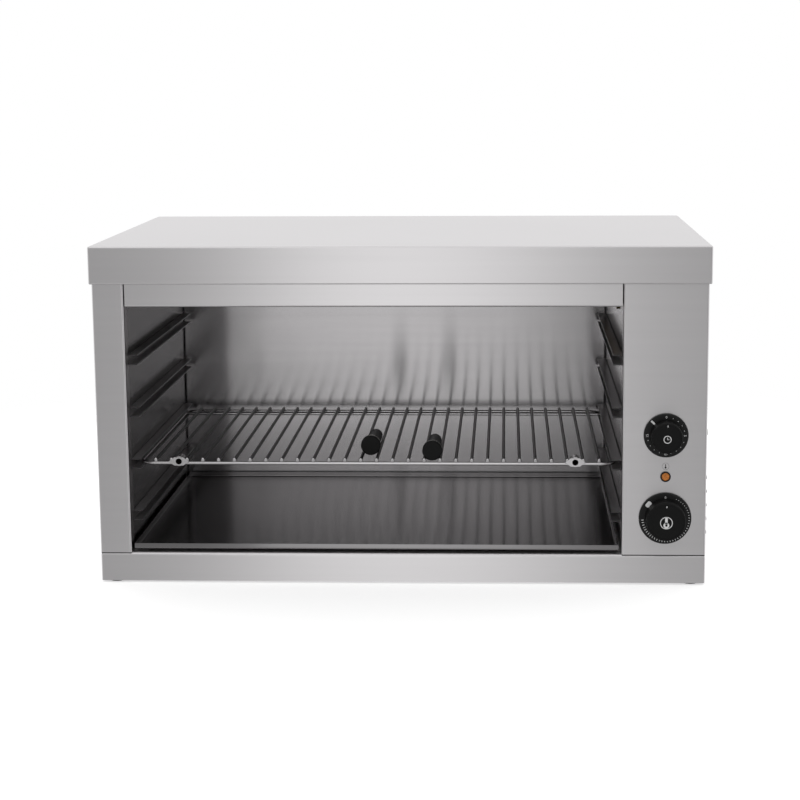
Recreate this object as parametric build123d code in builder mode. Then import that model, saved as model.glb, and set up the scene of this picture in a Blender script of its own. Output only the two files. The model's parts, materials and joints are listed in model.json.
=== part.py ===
from build123d import *
from math import asin, cos, sin, sqrt
import os

# Countertop cheese melter: an open-fronted cabinet of folded stainless sheet with grill
# elements under its roof, four pairs of channel runners, a welded wire grid, a crumb tray
# and a control compartment on the right.
# Millimetres. X runs to the right, Y to the back, Z up. The origin is on the counter,
# under the centre of the cover.

# ---- Cabinet -----------------------------------------------------------------------
COVER_WIDTH = 610.0
COVER_DEPTH = 330.0
HEIGHT = 340.0
COVER_SKIRT = 37.4
HEM_HEIGHT = 8.0
HEM_ROUND = 1.5
SIDE_OVERHANG = 2.5
FRONT_OVERHANG = 2.0
SHEET = 1.0
BEND = 2.0
BASE_TOP = 31.0
BASE_BEND = 3.0
FOOT_LIFT = 2.0
POST_WIDTH = 31.5
CONTROL_WIDTH = 83.2
FASCIA_HEIGHT = 22.6
FASCIA_GAP = 1.0
RETURN_DEPTH = 12.0
FLANGE = 15.0
PANEL_GAP = 0.3

# ---- Cavity ------------------------------------------------------------------------
REAR_SPACE = 26.0
ROOF_ABOVE_FASCIA = 16.0
REFLECTOR_EDGE = 12.0
WALL_OVER_ROOF = 24.0

# ---- Runners -----------------------------------------------------------------------
RUNNER_LEVELS = 4
FIRST_RUNNER_RISE = 30.0
TOP_RUNNER_DROP = 76.0
RUNNER_HEIGHT = 10.4
RUNNER_REACH = 10.0
RUNNER_BACK_GAP = 10.7
RUNNER_BEND = 1.5
GRID_LEVEL = 2

# ---- Wire grid ---------------------------------------------------------------------
GRID_SIDE_CLEARANCE = 5.15
GRID_SETBACK = 27.0
GRID_BACK_GAP = 20.0
FRAME_WIRE_RADIUS = 1.7
FRAME_CORNER = 14.0
BACK_ROD_SPACING = 14.0
BAR_RADIUS = 1.6
BAR_SPACING = 16.0
BAR_END_OVERHANG = 1.3
WELD_SINK = 0.3
GRID_SEAT_GAP = 0.1

# ---- Handle lugs and loose handles -------------------------------------------------
LUG_WIDTH = 20.0
LUG_FLAT = 9.2
LUG_HEIGHT = 8.5
LUG_THICKNESS = 2.0
LUG_RISE = 2.2
LUG_HOLE_RADIUS = 3.1
LUG_HOLE_DEPTH = 12.0
LUG_BOSS_RADIUS = 5.0
LUG_BOSS_END = 2.0
LUG_WIRE_GAP = 9.6
LUG_BAR_FROM_SIDE = 2.5
HANDLE_HEAD_RADIUS = 10.0
HANDLE_NECK_RADIUS = 7.0
HANDLE_LENGTH = 72.0
HANDLE_HEAD_LENGTH = 9.0
HANDLE_SHOULDER_RADIUS = 8.0
HANDLE_EDGE = 1.2
STUD_RADIUS = 3.0
STUD_REACH = 11.0
STUD_DEPTH = 20.0
HANDLE_LIFT = 0.35
LEFT_HANDLE_SLOT = 14
RIGHT_HANDLE_SLOT = 18
LEFT_HANDLE_SETBACK = 53.0
RIGHT_HANDLE_SETBACK = 30.0

# ---- Crumb tray --------------------------------------------------------------------
TRAY_SETBACK = 2.5
TRAY_BACK_GAP = 4.0
TRAY_SIDE_GAP = 2.6
TRAY_LIFT = 3.0
TRAY_DEPTH = 5.9
RAIL_WIDTH = 8.0
RAIL_INSET = 4.0
RAIL_CLEARANCE = 0.3

# ---- Grill elements ----------------------------------------------------------------
ELEMENT_RADIUS = 4.0
ELEMENT_DROP = 22.0
ELEMENT_PITCH = 58.0
ELEMENT_ROW_SETBACK = 27.0
HAIRPINS = 2
ELEMENT_END_GAP = 22.0
ELEMENT_TAIL = 24.0
BUSH_RADIUS = 6.0
BUSH_FLANGE_RADIUS = 9.0
BUSH_FLANGE = 2.0
TERMINAL_RADIUS = 2.0
TERMINAL_LENGTH = 14.0
HANGER_STRIP = 13.0
HANGER_SHEET = 1.5
HANGER_CLEARANCE = 0.2
HANGER_FOOT = 12.0
HANGER_INSET = 95.0

# ---- Controls ----------------------------------------------------------------------
CONTROL_FROM_EDGE = 40.5
TIMER_RISE = 121.6
LAMP_RISE = 79.8
THERMOSTAT_RISE = 37.8
TIMER_RING_RADIUS = 22.0
TIMER_KNOB_RADIUS = 16.0
THERMOSTAT_RING_RADIUS = 26.0
THERMOSTAT_KNOB_RADIUS = 20.0
RING_THICKNESS = 2.5
RING_EDGE = 0.8
KNOB_PROUD = 16.0
KNOB_EDGE = 1.5
KNOB_RIM = 2.5
KNOB_DISH = 0.4
KNOB_DRAFT = 0.8
KNOB_BACK_GAP = 0.3
SPINDLE_RADIUS = 3.0
SPINDLE_FIT = 0.05
SPINDLE_IN_KNOB = 10.0
SPINDLE_IN_BODY = 22.0
COLLAR_RADIUS = 4.8
COLLAR_PROUD = 1.8
COLLAR_CLEARANCE = 0.2
TIMER_BODY_WIDTH = 44.0
TIMER_BODY_DEPTH = 34.0
THERMOSTAT_BODY_WIDTH = 40.0
THERMOSTAT_BODY_DEPTH = 30.0
FIXING_SPACING = 20.0
RING_INNER_GAP = 0.4
LAMP_LENS_RADIUS = 4.0
LAMP_BEZEL_RADIUS = 5.2
LAMP_BEZEL_PROUD = 1.2
LAMP_BARREL_RADIUS = 4.5
LAMP_LENGTH = 22.0

# ---- Thermostat bulb ---------------------------------------------------------------
BULB_RADIUS = 3.0
BULB_LENGTH = 90.0
BULB_BUSH_GAP = 0.5
BULB_WALL_GAP = 7.0
BULB_BACK_GAP = 13.0
CAPILLARY_RADIUS = 1.0
CAPILLARY_BEND = 10.0
CAPILLARY_HOLE_RADIUS = 2.0
CLIP_WIDTH = 6.0
CLIP_SHEET = 0.8
CLIP_SHARES = (0.35, 0.85)

# ---- Insulation --------------------------------------------------------------------
INSULATION_GAP = 0.4
ROOF_INSULATION = 30.0
RIGHT_INSULATION = 9.0

# ---- Services, panels and fixings --------------------------------------------------
SCREW_RADIUS = 2.0
SCREW_HEAD_RADIUS = 3.8
SCREW_HEAD_HEIGHT = 2.0
SCREW_LENGTH = 8.0
SCREW_CLEARANCE = 0.2
SEAM_DEPTH = 8.0
LOUVRES = 5
LOUVRE_PITCH = 14.0
LOUVRE_LENGTH = 90.0
LOUVRE_HEIGHT = 8.0
LOUVRE_PROUD = 2.3
LOUVRE_LIP = 2.0
LOUVRE_RISE = 18.0
LOUVRE_SETBACK = 14.0
SLOT_LENGTH = 52.0
SLOT_WIDTH = 5.0
SLOT_PITCH = 12.0
REAR_SLOTS = 8
DECK_SLOTS = 4
GLAND_RISE = 36.0
GLAND_BORE_RADIUS = 4.5
GLAND_THREAD_RADIUS = 8.0
GLAND_NUT_RADIUS = 11.0
GLAND_NUT = 6.0
GLAND_DOME = 10.0
GLAND_CLEARANCE = 0.25
TERMINAL_BLOCK_SIZE = (46.0, 24.0, 20.0)
WIRE_WAY_RADIUS = 3.0
WIRE_RADIUS = 1.25
WIRE_BEND = 5.0
WIRE_LOOP = 28.0
FOOT_RADIUS = 10.0
FOOT_INSET = 14.0
FOOT_NECK_RADIUS = 4.0
FOOT_BARB_RADIUS = 5.2
FOOT_BARB = 3.0
FOOT_BARB_CHAMFER = 1.0
BASE_FLANGE = 27.0

# ---- Places worked out from the sizes above ----------------------------------------
BODY_X = COVER_WIDTH / 2 - SIDE_OVERHANG
FRONT_Y = -(COVER_DEPTH / 2 - FRONT_OVERHANG)
BACK_Y = -FRONT_Y
CASING_BACK_Y = BACK_Y - SHEET
CASING_TOP_Z = HEIGHT - SHEET
CASING_HEIGHT = CASING_TOP_Z - BASE_TOP
LEFT_X = -BODY_X + POST_WIDTH
RIGHT_X = BODY_X - CONTROL_WIDTH
OPENING_CENTRE_X = (LEFT_X + RIGHT_X) / 2
WALL_LEFT_X = LEFT_X - SHEET
WALL_RIGHT_X = RIGHT_X + SHEET
FASCIA_Z = HEIGHT - COVER_SKIRT - FASCIA_HEIGHT
ROOF_Z = FASCIA_Z + ROOF_ABOVE_FASCIA
WALL_TOP_Z = ROOF_Z + WALL_OVER_ROOF
RETURN_Y = FRONT_Y + RETURN_DEPTH
CAVITY_BACK_Y = BACK_Y - REAR_SPACE
CONTROL_X = BODY_X - CONTROL_FROM_EDGE
TIMER_Z = BASE_TOP + TIMER_RISE
LAMP_Z = BASE_TOP + LAMP_RISE
THERMOSTAT_Z = BASE_TOP + THERMOSTAT_RISE
ELEMENT_Z = ROOF_Z - ELEMENT_DROP
FIRST_RUNNER_Z = BASE_TOP + FIRST_RUNNER_RISE
RUNNER_PITCH = (ROOF_Z - TOP_RUNNER_DROP - FIRST_RUNNER_Z) / (RUNNER_LEVELS - 1)


def folded_section(points, side, plane, bend=BEND, sheet=SHEET):
    """Section of a sheet folded along points, its thickness on the given side."""
    with BuildSketch(plane) as section:
        with BuildLine():
            FilletPolyline(*points, radius=bend)
            offset(amount=sheet, side=side)
        make_face()
    return section.sketch


def span_face(first, last, plane=Plane.XY):
    """Rectangle between two opposite corners given in the plane's own coordinates."""
    centre = ((first[0] + last[0]) / 2, (first[1] + last[1]) / 2)
    with BuildSketch(plane) as face:
        with Locations(centre):
            Rectangle(abs(last[0] - first[0]), abs(last[1] - first[1]))
    return face.sketch


def facing_front(x, y, z):
    """Plane at a point whose own Z looks forward, out of the cabinet."""
    return Plane(origin=(x, y, z), x_dir=(1, 0, 0), z_dir=(0, -1, 0))


def facing_back(x, y, z):
    """Plane at a point whose own Z looks backward."""
    return Plane(origin=(x, y, z), x_dir=(-1, 0, 0), z_dir=(0, 1, 0))


def facing_right(x, y, z):
    """Plane at a point whose own Z looks to the right."""
    return Plane(origin=(x, y, z), x_dir=(0, 1, 0), z_dir=(1, 0, 0))


def write_node(piece, name):
    """Label a finished piece and write it under its own name."""
    piece.label = name
    export_step(piece, f"parts/{name}.step")


os.makedirs("parts", exist_ok=True)

# ---- Base frame: a folded pan, open below, whose deck carries everything -----------
vent_x = (RIGHT_X + BODY_X) / 2
with BuildPart() as base_frame:
    with BuildSketch(Plane.XY.offset(FOOT_LIFT)):
        Rectangle(2 * BODY_X, BACK_Y - FRONT_Y)
    extrude(amount=BASE_TOP - FOOT_LIFT)
    fillet(base_frame.edges().filter_by(Axis.Z), radius=BEND)
    fillet(base_frame.edges().group_by(Axis.Z)[-1], radius=BASE_BEND)
    offset(amount=-SHEET, openings=base_frame.faces().sort_by(Axis.Z)[0])
    with BuildSketch(Plane.XY.offset(FOOT_LIFT)):
        Rectangle(2 * (BODY_X - SHEET), BACK_Y - FRONT_Y - 2 * SHEET)
        Rectangle(2 * (BODY_X - BASE_FLANGE), BACK_Y - FRONT_Y - 2 * BASE_FLANGE, mode=Mode.SUBTRACT)
    extrude(amount=SHEET)
    with BuildSketch(Plane.XY.offset(FOOT_LIFT)):
        with GridLocations(2 * (BODY_X - FOOT_INSET), BACK_Y - FRONT_Y - 2 * FOOT_INSET, 2, 2):
            Circle(FOOT_NECK_RADIUS)
    extrude(amount=SHEET, mode=Mode.SUBTRACT)
    with BuildSketch(Plane.XY.offset(BASE_TOP)):
        with Locations((vent_x, 0)):
            with GridLocations(0, SLOT_PITCH, 1, DECK_SLOTS):
                SlotOverall(SLOT_LENGTH, SLOT_WIDTH)
    extrude(amount=-SHEET, mode=Mode.SUBTRACT)
base_frame.part.label = "base_frame"
export_step(base_frame.part, "parts/base_frame.step")

with BuildPart() as foot:
    with BuildSketch(Plane.XZ) as foot_profile:
        Rectangle(FOOT_RADIUS, FOOT_LIFT, align=(Align.MIN, Align.MIN))
        with Locations((0, FOOT_LIFT)):
            Rectangle(FOOT_NECK_RADIUS, SHEET, align=(Align.MIN, Align.MIN))
        with Locations((0, FOOT_LIFT + SHEET)):
            Rectangle(FOOT_BARB_RADIUS, FOOT_BARB, align=(Align.MIN, Align.MIN))
        chamfer(foot_profile.vertices().group_by(Axis.Y)[-1].sort_by(Axis.X)[-1], length=FOOT_BARB_CHAMFER)
    revolve(axis=Axis.Z)

with BuildPart() as rubber_feet:
    with GridLocations(2 * (BODY_X - FOOT_INSET), BACK_Y - FRONT_Y - 2 * FOOT_INSET, 2, 2):
        add(foot.part)
rubber_feet.part.label = "rubber_feet"
export_step(rubber_feet.part, "parts/rubber_feet.step")

# ---- Left casing: post, outer side and rear return folded from one sheet -----------
deck = Plane.XY.offset(BASE_TOP)
rear_slot_z = (HEIGHT - COVER_SKIRT + BASE_TOP) / 2
rear_screw_x = BODY_X - FLANGE / 2
rear_screw_pitch = (HEIGHT - COVER_SKIRT - BASE_TOP) / 3
rear_hole = SCREW_RADIUS + SCREW_CLEARANCE


def rear_screw_holes():
    """Faces of the rear panel's screw holes, on the casings' rear returns."""
    with BuildSketch(facing_back(0, CASING_BACK_Y, rear_slot_z)) as holes:
        with GridLocations(2 * rear_screw_x, rear_screw_pitch, 2, 3):
            Circle(rear_hole)
    return holes.sketch


left_path = (
    (LEFT_X, RETURN_Y),
    (LEFT_X, FRONT_Y),
    (-BODY_X, FRONT_Y),
    (-BODY_X, CASING_BACK_Y),
    (-BODY_X + FLANGE, CASING_BACK_Y),
)
with BuildPart() as left_side_casing:
    extrude(folded_section(left_path, Side.RIGHT, deck), amount=CASING_HEIGHT)
    for level in (BASE_TOP, CASING_TOP_Z - SHEET):
        flange = span_face(
            (-BODY_X + SHEET, RETURN_Y), (-BODY_X + FLANGE, CASING_BACK_Y - SHEET), Plane.XY.offset(level)
        )
        extrude(flange, amount=SHEET)
    extrude(rear_screw_holes(), amount=-SHEET, mode=Mode.SUBTRACT)
left_side_casing.part.label = "left_side_casing"
export_step(left_side_casing.part, "parts/left_side_casing.step")

# ---- Control panel: front plate with a return into the cavity and one at the seam --
seam_y = FRONT_Y + SEAM_DEPTH
panel_path = (
    (RIGHT_X, RETURN_Y),
    (RIGHT_X, FRONT_Y),
    (BODY_X, FRONT_Y),
    (BODY_X, seam_y),
    (BODY_X - FLANGE, seam_y),
)
with BuildPart() as control_panel:
    extrude(folded_section(panel_path, Side.LEFT, deck), amount=CASING_HEIGHT)
    for z in (TIMER_Z, THERMOSTAT_Z):
        with BuildSketch(facing_front(CONTROL_X, FRONT_Y, z)):
            Circle(COLLAR_RADIUS + COLLAR_CLEARANCE)
            with GridLocations(FIXING_SPACING, 0, 2, 1):
                Circle(SCREW_RADIUS + SCREW_CLEARANCE)
        extrude(amount=-SHEET, mode=Mode.SUBTRACT)
    with BuildSketch(facing_front(CONTROL_X, FRONT_Y, LAMP_Z)):
        Circle(LAMP_BARREL_RADIUS + COLLAR_CLEARANCE)
    extrude(amount=-SHEET, mode=Mode.SUBTRACT)
control_panel.part.label = "control_panel"
export_step(control_panel.part, "parts/control_panel.step")

# ---- Right side panel: louvred, screwed to an angle behind the seam ----------------
side_screw_y = seam_y + FLANGE / 2
side_front_y = seam_y + PANEL_GAP
side_path = ((BODY_X, side_front_y), (BODY_X, CASING_BACK_Y), (BODY_X - FLANGE, CASING_BACK_Y))
louvre_y = FRONT_Y + LOUVRE_SETBACK
louvre_front = Plane.XZ.offset(-louvre_y)
with BuildPart() as right_side_panel:
    extrude(folded_section(side_path, Side.LEFT, deck), amount=CASING_HEIGHT)
    for level in (BASE_TOP, CASING_TOP_Z - SHEET):
        flange = span_face(
            (BODY_X - FLANGE, seam_y + FLANGE + PANEL_GAP),
            (BODY_X - SHEET, CASING_BACK_Y - SHEET),
            Plane.XY.offset(level),
        )
        extrude(flange, amount=SHEET)
    for index in range(LOUVRES):
        low = BASE_TOP + LOUVRE_RISE + index * LOUVRE_PITCH
        mouth = span_face(
            (BODY_X - SHEET, low), (BODY_X, low + LOUVRE_HEIGHT - LOUVRE_LIP), louvre_front
        )
        extrude(mouth, amount=-LOUVRE_LENGTH, mode=Mode.SUBTRACT)
        with BuildSketch(louvre_front) as hood:
            with BuildLine():
                Polyline(
                    (BODY_X - SHEET, low + LOUVRE_HEIGHT),
                    (BODY_X, low + LOUVRE_HEIGHT),
                    (BODY_X + LOUVRE_PROUD, low + LOUVRE_LIP),
                    (BODY_X + LOUVRE_PROUD, low),
                    (BODY_X + LOUVRE_PROUD - SHEET, low),
                    (BODY_X + LOUVRE_PROUD - SHEET, low + LOUVRE_LIP),
                    close=True,
                )
            make_face()
        extrude(amount=-LOUVRE_LENGTH)
        for end_y in (louvre_y, louvre_y + LOUVRE_LENGTH - SHEET):
            with BuildSketch(Plane.XZ.offset(-end_y)):
                with BuildLine():
                    Polyline(
                        (BODY_X - SHEET, low),
                        (BODY_X - SHEET, low + LOUVRE_HEIGHT),
                        (BODY_X, low + LOUVRE_HEIGHT),
                        (BODY_X + LOUVRE_PROUD, low + LOUVRE_LIP),
                        (BODY_X + LOUVRE_PROUD, low),
                        close=True,
                    )
                make_face()
            extrude(amount=-SHEET)
    with BuildSketch(facing_right(BODY_X, side_screw_y, TIMER_Z)):
        Circle(SCREW_RADIUS + SCREW_CLEARANCE)
    extrude(amount=-SHEET, mode=Mode.SUBTRACT)
    extrude(rear_screw_holes(), amount=-SHEET, mode=Mode.SUBTRACT)
right_side_panel.part.label = "right_side_panel"
export_step(right_side_panel.part, "parts/right_side_panel.step")

angle_path = (
    (BODY_X - FLANGE, seam_y),
    (BODY_X - SHEET, seam_y),
    (BODY_X - SHEET, seam_y + FLANGE),
)
with BuildPart() as side_panel_angle:
    angle_section = folded_section(angle_path, Side.LEFT, Plane.XY.offset(BASE_TOP + SHEET))
    extrude(angle_section, amount=CASING_HEIGHT - 2 * SHEET)
    with BuildSketch(facing_right(BODY_X - SHEET, side_screw_y, TIMER_Z)):
        Circle(SCREW_RADIUS + SCREW_CLEARANCE)
    extrude(amount=-SHEET, mode=Mode.SUBTRACT)
side_panel_angle.part.label = "side_panel_angle"
export_step(side_panel_angle.part, "parts/side_panel_angle.step")

# ---- Front fascia: a channel over the opening with a hemmed lower edge -------------
fascia_hem = FASCIA_Z + RETURN_DEPTH
fascia_path = (
    (RETURN_Y, CASING_TOP_Z),
    (FRONT_Y, CASING_TOP_Z),
    (FRONT_Y, FASCIA_Z),
    (RETURN_Y, FASCIA_Z),
    (RETURN_Y, fascia_hem),
)
fascia_left = LEFT_X + FASCIA_GAP
fascia_right = RIGHT_X - FASCIA_GAP
with BuildPart() as front_fascia:
    fascia_section = folded_section(fascia_path, Side.LEFT, Plane.YZ.offset(fascia_left))
    extrude(fascia_section, amount=fascia_right - fascia_left)
    for tab_x in (fascia_left, fascia_right - SHEET):
        tab = span_face(
            (FRONT_Y + SHEET, fascia_hem),
            (RETURN_Y, CASING_TOP_Z - SHEET),
            Plane.YZ.offset(tab_x),
        )
        extrude(tab, amount=SHEET)
front_fascia.part.label = "front_fascia"
export_step(front_fascia.part, "parts/front_fascia.step")

# ---- Rear panel: flat plate on the casings' rear returns ---------------------------
gland_z = BASE_TOP + GLAND_RISE
with BuildPart() as rear_panel:
    with BuildSketch(facing_back(0, CASING_BACK_Y, (BASE_TOP + CASING_TOP_Z) / 2)):
        Rectangle(2 * (BODY_X - PANEL_GAP), CASING_HEIGHT)
    extrude(amount=SHEET)
    with BuildSketch(facing_back(0, BACK_Y, rear_slot_z)):
        with Locations((-vent_x, 0)):
            with GridLocations(0, SLOT_PITCH, 1, REAR_SLOTS):
                SlotOverall(SLOT_LENGTH, SLOT_WIDTH)
    extrude(amount=-SHEET, mode=Mode.SUBTRACT)
    extrude(rear_screw_holes(), amount=SHEET, mode=Mode.SUBTRACT)
    with BuildSketch(facing_back(CONTROL_X, BACK_Y, gland_z)):
        Circle(GLAND_THREAD_RADIUS + GLAND_CLEARANCE)
    extrude(amount=-SHEET, mode=Mode.SUBTRACT)
    with BuildSketch(facing_back(0, BACK_Y, HEIGHT - COVER_SKIRT / 2)):
        with GridLocations(COVER_WIDTH / 3, 0, 3, 1):
            Circle(rear_hole)
    extrude(amount=-SHEET, mode=Mode.SUBTRACT)
rear_panel.part.label = "rear_panel"
export_step(rear_panel.part, "parts/rear_panel.step")

# ---- Top cover: a deep folded lid over the casings ---------------------------------
with BuildPart() as top_cover:
    with BuildSketch(Plane.XY.offset(HEIGHT - COVER_SKIRT)):
        Rectangle(COVER_WIDTH, COVER_DEPTH)
    extrude(amount=COVER_SKIRT)
    fillet(top_cover.edges().filter_by(Axis.Z), radius=BEND)
    fillet(top_cover.edges().group_by(Axis.Z)[-1], radius=BEND)
    offset(amount=-SHEET, openings=top_cover.faces().sort_by(Axis.Z)[0])
    with BuildSketch(Plane.XY.offset(HEIGHT - COVER_SKIRT)):
        RectangleRounded(COVER_WIDTH - 2 * SHEET, COVER_DEPTH - 2 * SHEET, BEND - SHEET)
        Rectangle(COVER_WIDTH - 4 * SHEET, COVER_DEPTH - 4 * SHEET, mode=Mode.SUBTRACT)
    extrude(amount=HEM_HEIGHT)
    fillet(top_cover.faces().sort_by(Axis.Z)[0].outer_wire().edges(), radius=HEM_ROUND)
    with BuildSketch(facing_back(0, COVER_DEPTH / 2, HEIGHT - COVER_SKIRT / 2)):
        with GridLocations(COVER_WIDTH / 3, 0, 3, 1):
            Circle(rear_hole)
    extrude(amount=-SHEET, mode=Mode.SUBTRACT)
top_cover.part.label = "top_cover"
export_step(top_cover.part, "parts/top_cover.step")

# ---- Screws ------------------------------------------------------------------------
with BuildPart() as pan_screw:
    with BuildSketch(Plane.XZ) as screw_profile:
        Rectangle(SCREW_HEAD_RADIUS, SCREW_HEAD_HEIGHT, align=(Align.MIN, Align.MIN))
        with Locations((0, -SCREW_LENGTH)):
            Rectangle(SCREW_RADIUS, SCREW_LENGTH, align=(Align.MIN, Align.MIN))
        crown = screw_profile.vertices().group_by(Axis.Y)[-1].sort_by(Axis.X)[-1]
        fillet(crown, radius=SCREW_HEAD_HEIGHT / 2)
    revolve(axis=Axis.Z)

rear_screw_planes = [
    facing_back(side * rear_screw_x, BACK_Y, rear_slot_z + row * rear_screw_pitch)
    for side in (-1, 1)
    for row in (-1, 0, 1)
]
cover_screw_planes = [
    facing_back(column * COVER_WIDTH / 3, COVER_DEPTH / 2, HEIGHT - COVER_SKIRT / 2)
    for column in (-1, 0, 1)
]
control_screw_planes = [
    facing_front(CONTROL_X + side * FIXING_SPACING / 2, FRONT_Y, z)
    for side in (-1, 1)
    for z in (TIMER_Z, THERMOSTAT_Z)
]
side_screw_planes = [facing_right(BODY_X, side_screw_y, TIMER_Z)]
screw_groups = {
    "rear_panel_screws": rear_screw_planes,
    "cover_screws": cover_screw_planes,
    "control_fixing_screws": control_screw_planes,
    "side_panel_screw": side_screw_planes,
}
for group_name, planes in screw_groups.items():
    with BuildPart() as screw_group:
        with Locations(*[plane.location for plane in planes]):
            add(pan_screw.part)
    write_node(screw_group.part, group_name)

# ---- Cavity walls and reflector ----------------------------------------------------
element_row_y = (FRONT_Y + CAVITY_BACK_Y) / 2 + ELEMENT_ROW_SETBACK
element_legs = 2 * HAIRPINS
element_y = [
    element_row_y + (leg - (element_legs - 1) / 2) * ELEMENT_PITCH for leg in range(element_legs)
]
bulb_x = WALL_RIGHT_X - BULB_WALL_GAP
bulb_z = ELEMENT_Z + BUSH_FLANGE_RADIUS + CLIP_WIDTH / 2 + BULB_BUSH_GAP
bulb_y = CAVITY_BACK_Y - BULB_BACK_GAP - BULB_LENGTH + BULB_RADIUS
wall_front = Plane.XZ.offset(-(FRONT_Y + 2 * SHEET))
wall_length = CASING_BACK_Y - SHEET - FRONT_Y - 2 * SHEET - INSULATION_GAP
left_wall_path = ((WALL_LEFT_X - FLANGE, BASE_TOP), (WALL_LEFT_X, BASE_TOP), (WALL_LEFT_X, WALL_TOP_Z))
with BuildPart() as left_cavity_wall:
    extrude(folded_section(left_wall_path, Side.LEFT, wall_front), amount=-wall_length)
left_cavity_wall.part.label = "left_cavity_wall"
export_step(left_cavity_wall.part, "parts/left_cavity_wall.step")

right_wall_path = ((WALL_RIGHT_X + FLANGE, BASE_TOP), (WALL_RIGHT_X, BASE_TOP), (WALL_RIGHT_X, WALL_TOP_Z))
with BuildPart() as right_cavity_wall:
    extrude(folded_section(right_wall_path, Side.RIGHT, wall_front), amount=-wall_length)
    for leg_y in element_y:
        with BuildSketch(facing_right(WALL_RIGHT_X, leg_y, ELEMENT_Z)):
            Circle(BUSH_RADIUS)
        extrude(amount=SHEET, mode=Mode.SUBTRACT)
    with BuildSketch(facing_right(WALL_RIGHT_X, bulb_y, bulb_z)):
        Circle(CAPILLARY_HOLE_RADIUS)
    extrude(amount=SHEET, mode=Mode.SUBTRACT)
right_cavity_wall.part.label = "right_cavity_wall"
export_step(right_cavity_wall.part, "parts/right_cavity_wall.step")

back_path = (
    (WALL_LEFT_X, CAVITY_BACK_Y + FLANGE),
    (WALL_LEFT_X, CAVITY_BACK_Y),
    (WALL_RIGHT_X, CAVITY_BACK_Y),
    (WALL_RIGHT_X, CAVITY_BACK_Y + FLANGE),
)
with BuildPart() as back_cavity_wall:
    extrude(folded_section(back_path, Side.LEFT, deck), amount=WALL_TOP_Z - BASE_TOP)
back_cavity_wall.part.label = "back_cavity_wall"
export_step(back_cavity_wall.part, "parts/back_cavity_wall.step")

reflector_y = (RETURN_Y + PANEL_GAP, CAVITY_BACK_Y)
with BuildPart() as ceiling_reflector:
    reflector_face = span_face(
        (WALL_LEFT_X, reflector_y[0]), (WALL_RIGHT_X, reflector_y[1]), Plane.XY.offset(ROOF_Z)
    )
    extrude(reflector_face, amount=REFLECTOR_EDGE)
    fillet(ceiling_reflector.edges().group_by(Axis.Z)[0], radius=BEND)
    offset(amount=-SHEET, openings=ceiling_reflector.faces().sort_by(Axis.Z)[-1])
ceiling_reflector.part.label = "ceiling_reflector"
export_step(ceiling_reflector.part, "parts/ceiling_reflector.step")

# ---- Insulation slabs --------------------------------------------------------------
slab_edge = SHEET + INSULATION_GAP
slab_low = BASE_TOP + BEND + INSULATION_GAP
slab_high = ROOF_Z + REFLECTOR_EDGE
slab_back_y = BACK_Y - SCREW_LENGTH - INSULATION_GAP
with BuildPart() as roof_insulation:
    roof_face = span_face(
        (WALL_LEFT_X + slab_edge, reflector_y[0] + slab_edge),
        (WALL_RIGHT_X - slab_edge, reflector_y[1] - slab_edge),
        Plane.XY.offset(ROOF_Z + SHEET),
    )
    extrude(roof_face, amount=ROOF_INSULATION)
    fillet(roof_insulation.edges().group_by(Axis.Z)[0], radius=BEND)
roof_insulation.part.label = "roof_insulation"
export_step(roof_insulation.part, "parts/roof_insulation.step")

with BuildPart() as left_insulation:
    left_face = span_face(
        (-BODY_X + SHEET + INSULATION_GAP, RETURN_Y),
        (WALL_LEFT_X - SHEET, slab_back_y),
        Plane.XY.offset(slab_low),
    )
    extrude(left_face, amount=slab_high - slab_low)
    fillet(left_insulation.edges().filter_by(Axis.Z), radius=BEND)
left_insulation.part.label = "left_insulation"
export_step(left_insulation.part, "parts/left_insulation.step")

with BuildPart() as back_insulation:
    back_face = span_face(
        (WALL_LEFT_X + slab_edge, CAVITY_BACK_Y + SHEET),
        (WALL_RIGHT_X - slab_edge, CASING_BACK_Y - INSULATION_GAP),
        deck,
    )
    extrude(back_face, amount=slab_high - BASE_TOP)
    fillet(back_insulation.edges().filter_by(Axis.Z), radius=BEND)
back_insulation.part.label = "back_insulation"
export_step(back_insulation.part, "parts/back_insulation.step")

with BuildPart() as right_insulation:
    right_face = span_face(
        (WALL_RIGHT_X + SHEET, RETURN_Y + RETURN_DEPTH),
        (WALL_RIGHT_X + SHEET + RIGHT_INSULATION, CAVITY_BACK_Y),
        Plane.XY.offset(slab_low),
    )
    extrude(right_face, amount=ELEMENT_Z - BUSH_FLANGE_RADIUS - INSULATION_GAP - slab_low)
    fillet(right_insulation.edges().filter_by(Axis.Z), radius=BEND)
right_insulation.part.label = "right_insulation"
export_step(right_insulation.part, "parts/right_insulation.step")

# ---- Runners: folded channels, open towards the middle of the cavity ---------------
runner_plane = Plane.XZ.offset(-(RETURN_Y + PANEL_GAP))
runner_length = CAVITY_BACK_Y - RUNNER_BACK_GAP - RETURN_Y - PANEL_GAP
for level in range(RUNNER_LEVELS):
    low = FIRST_RUNNER_Z + level * RUNNER_PITCH
    high = low + RUNNER_HEIGHT
    for side_name, wall_x, reach, thickness_side in (
        ("left", WALL_LEFT_X, RUNNER_REACH, Side.LEFT),
        ("right", WALL_RIGHT_X, -RUNNER_REACH, Side.RIGHT),
    ):
        channel_path = ((wall_x + reach, high), (wall_x, high), (wall_x, low), (wall_x + reach, low))
        with BuildPart() as runner:
            channel = folded_section(channel_path, thickness_side, runner_plane, RUNNER_BEND)
            extrude(channel, amount=-runner_length)
        write_node(runner.part, f"{side_name}_runner_{level + 1}")

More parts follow.
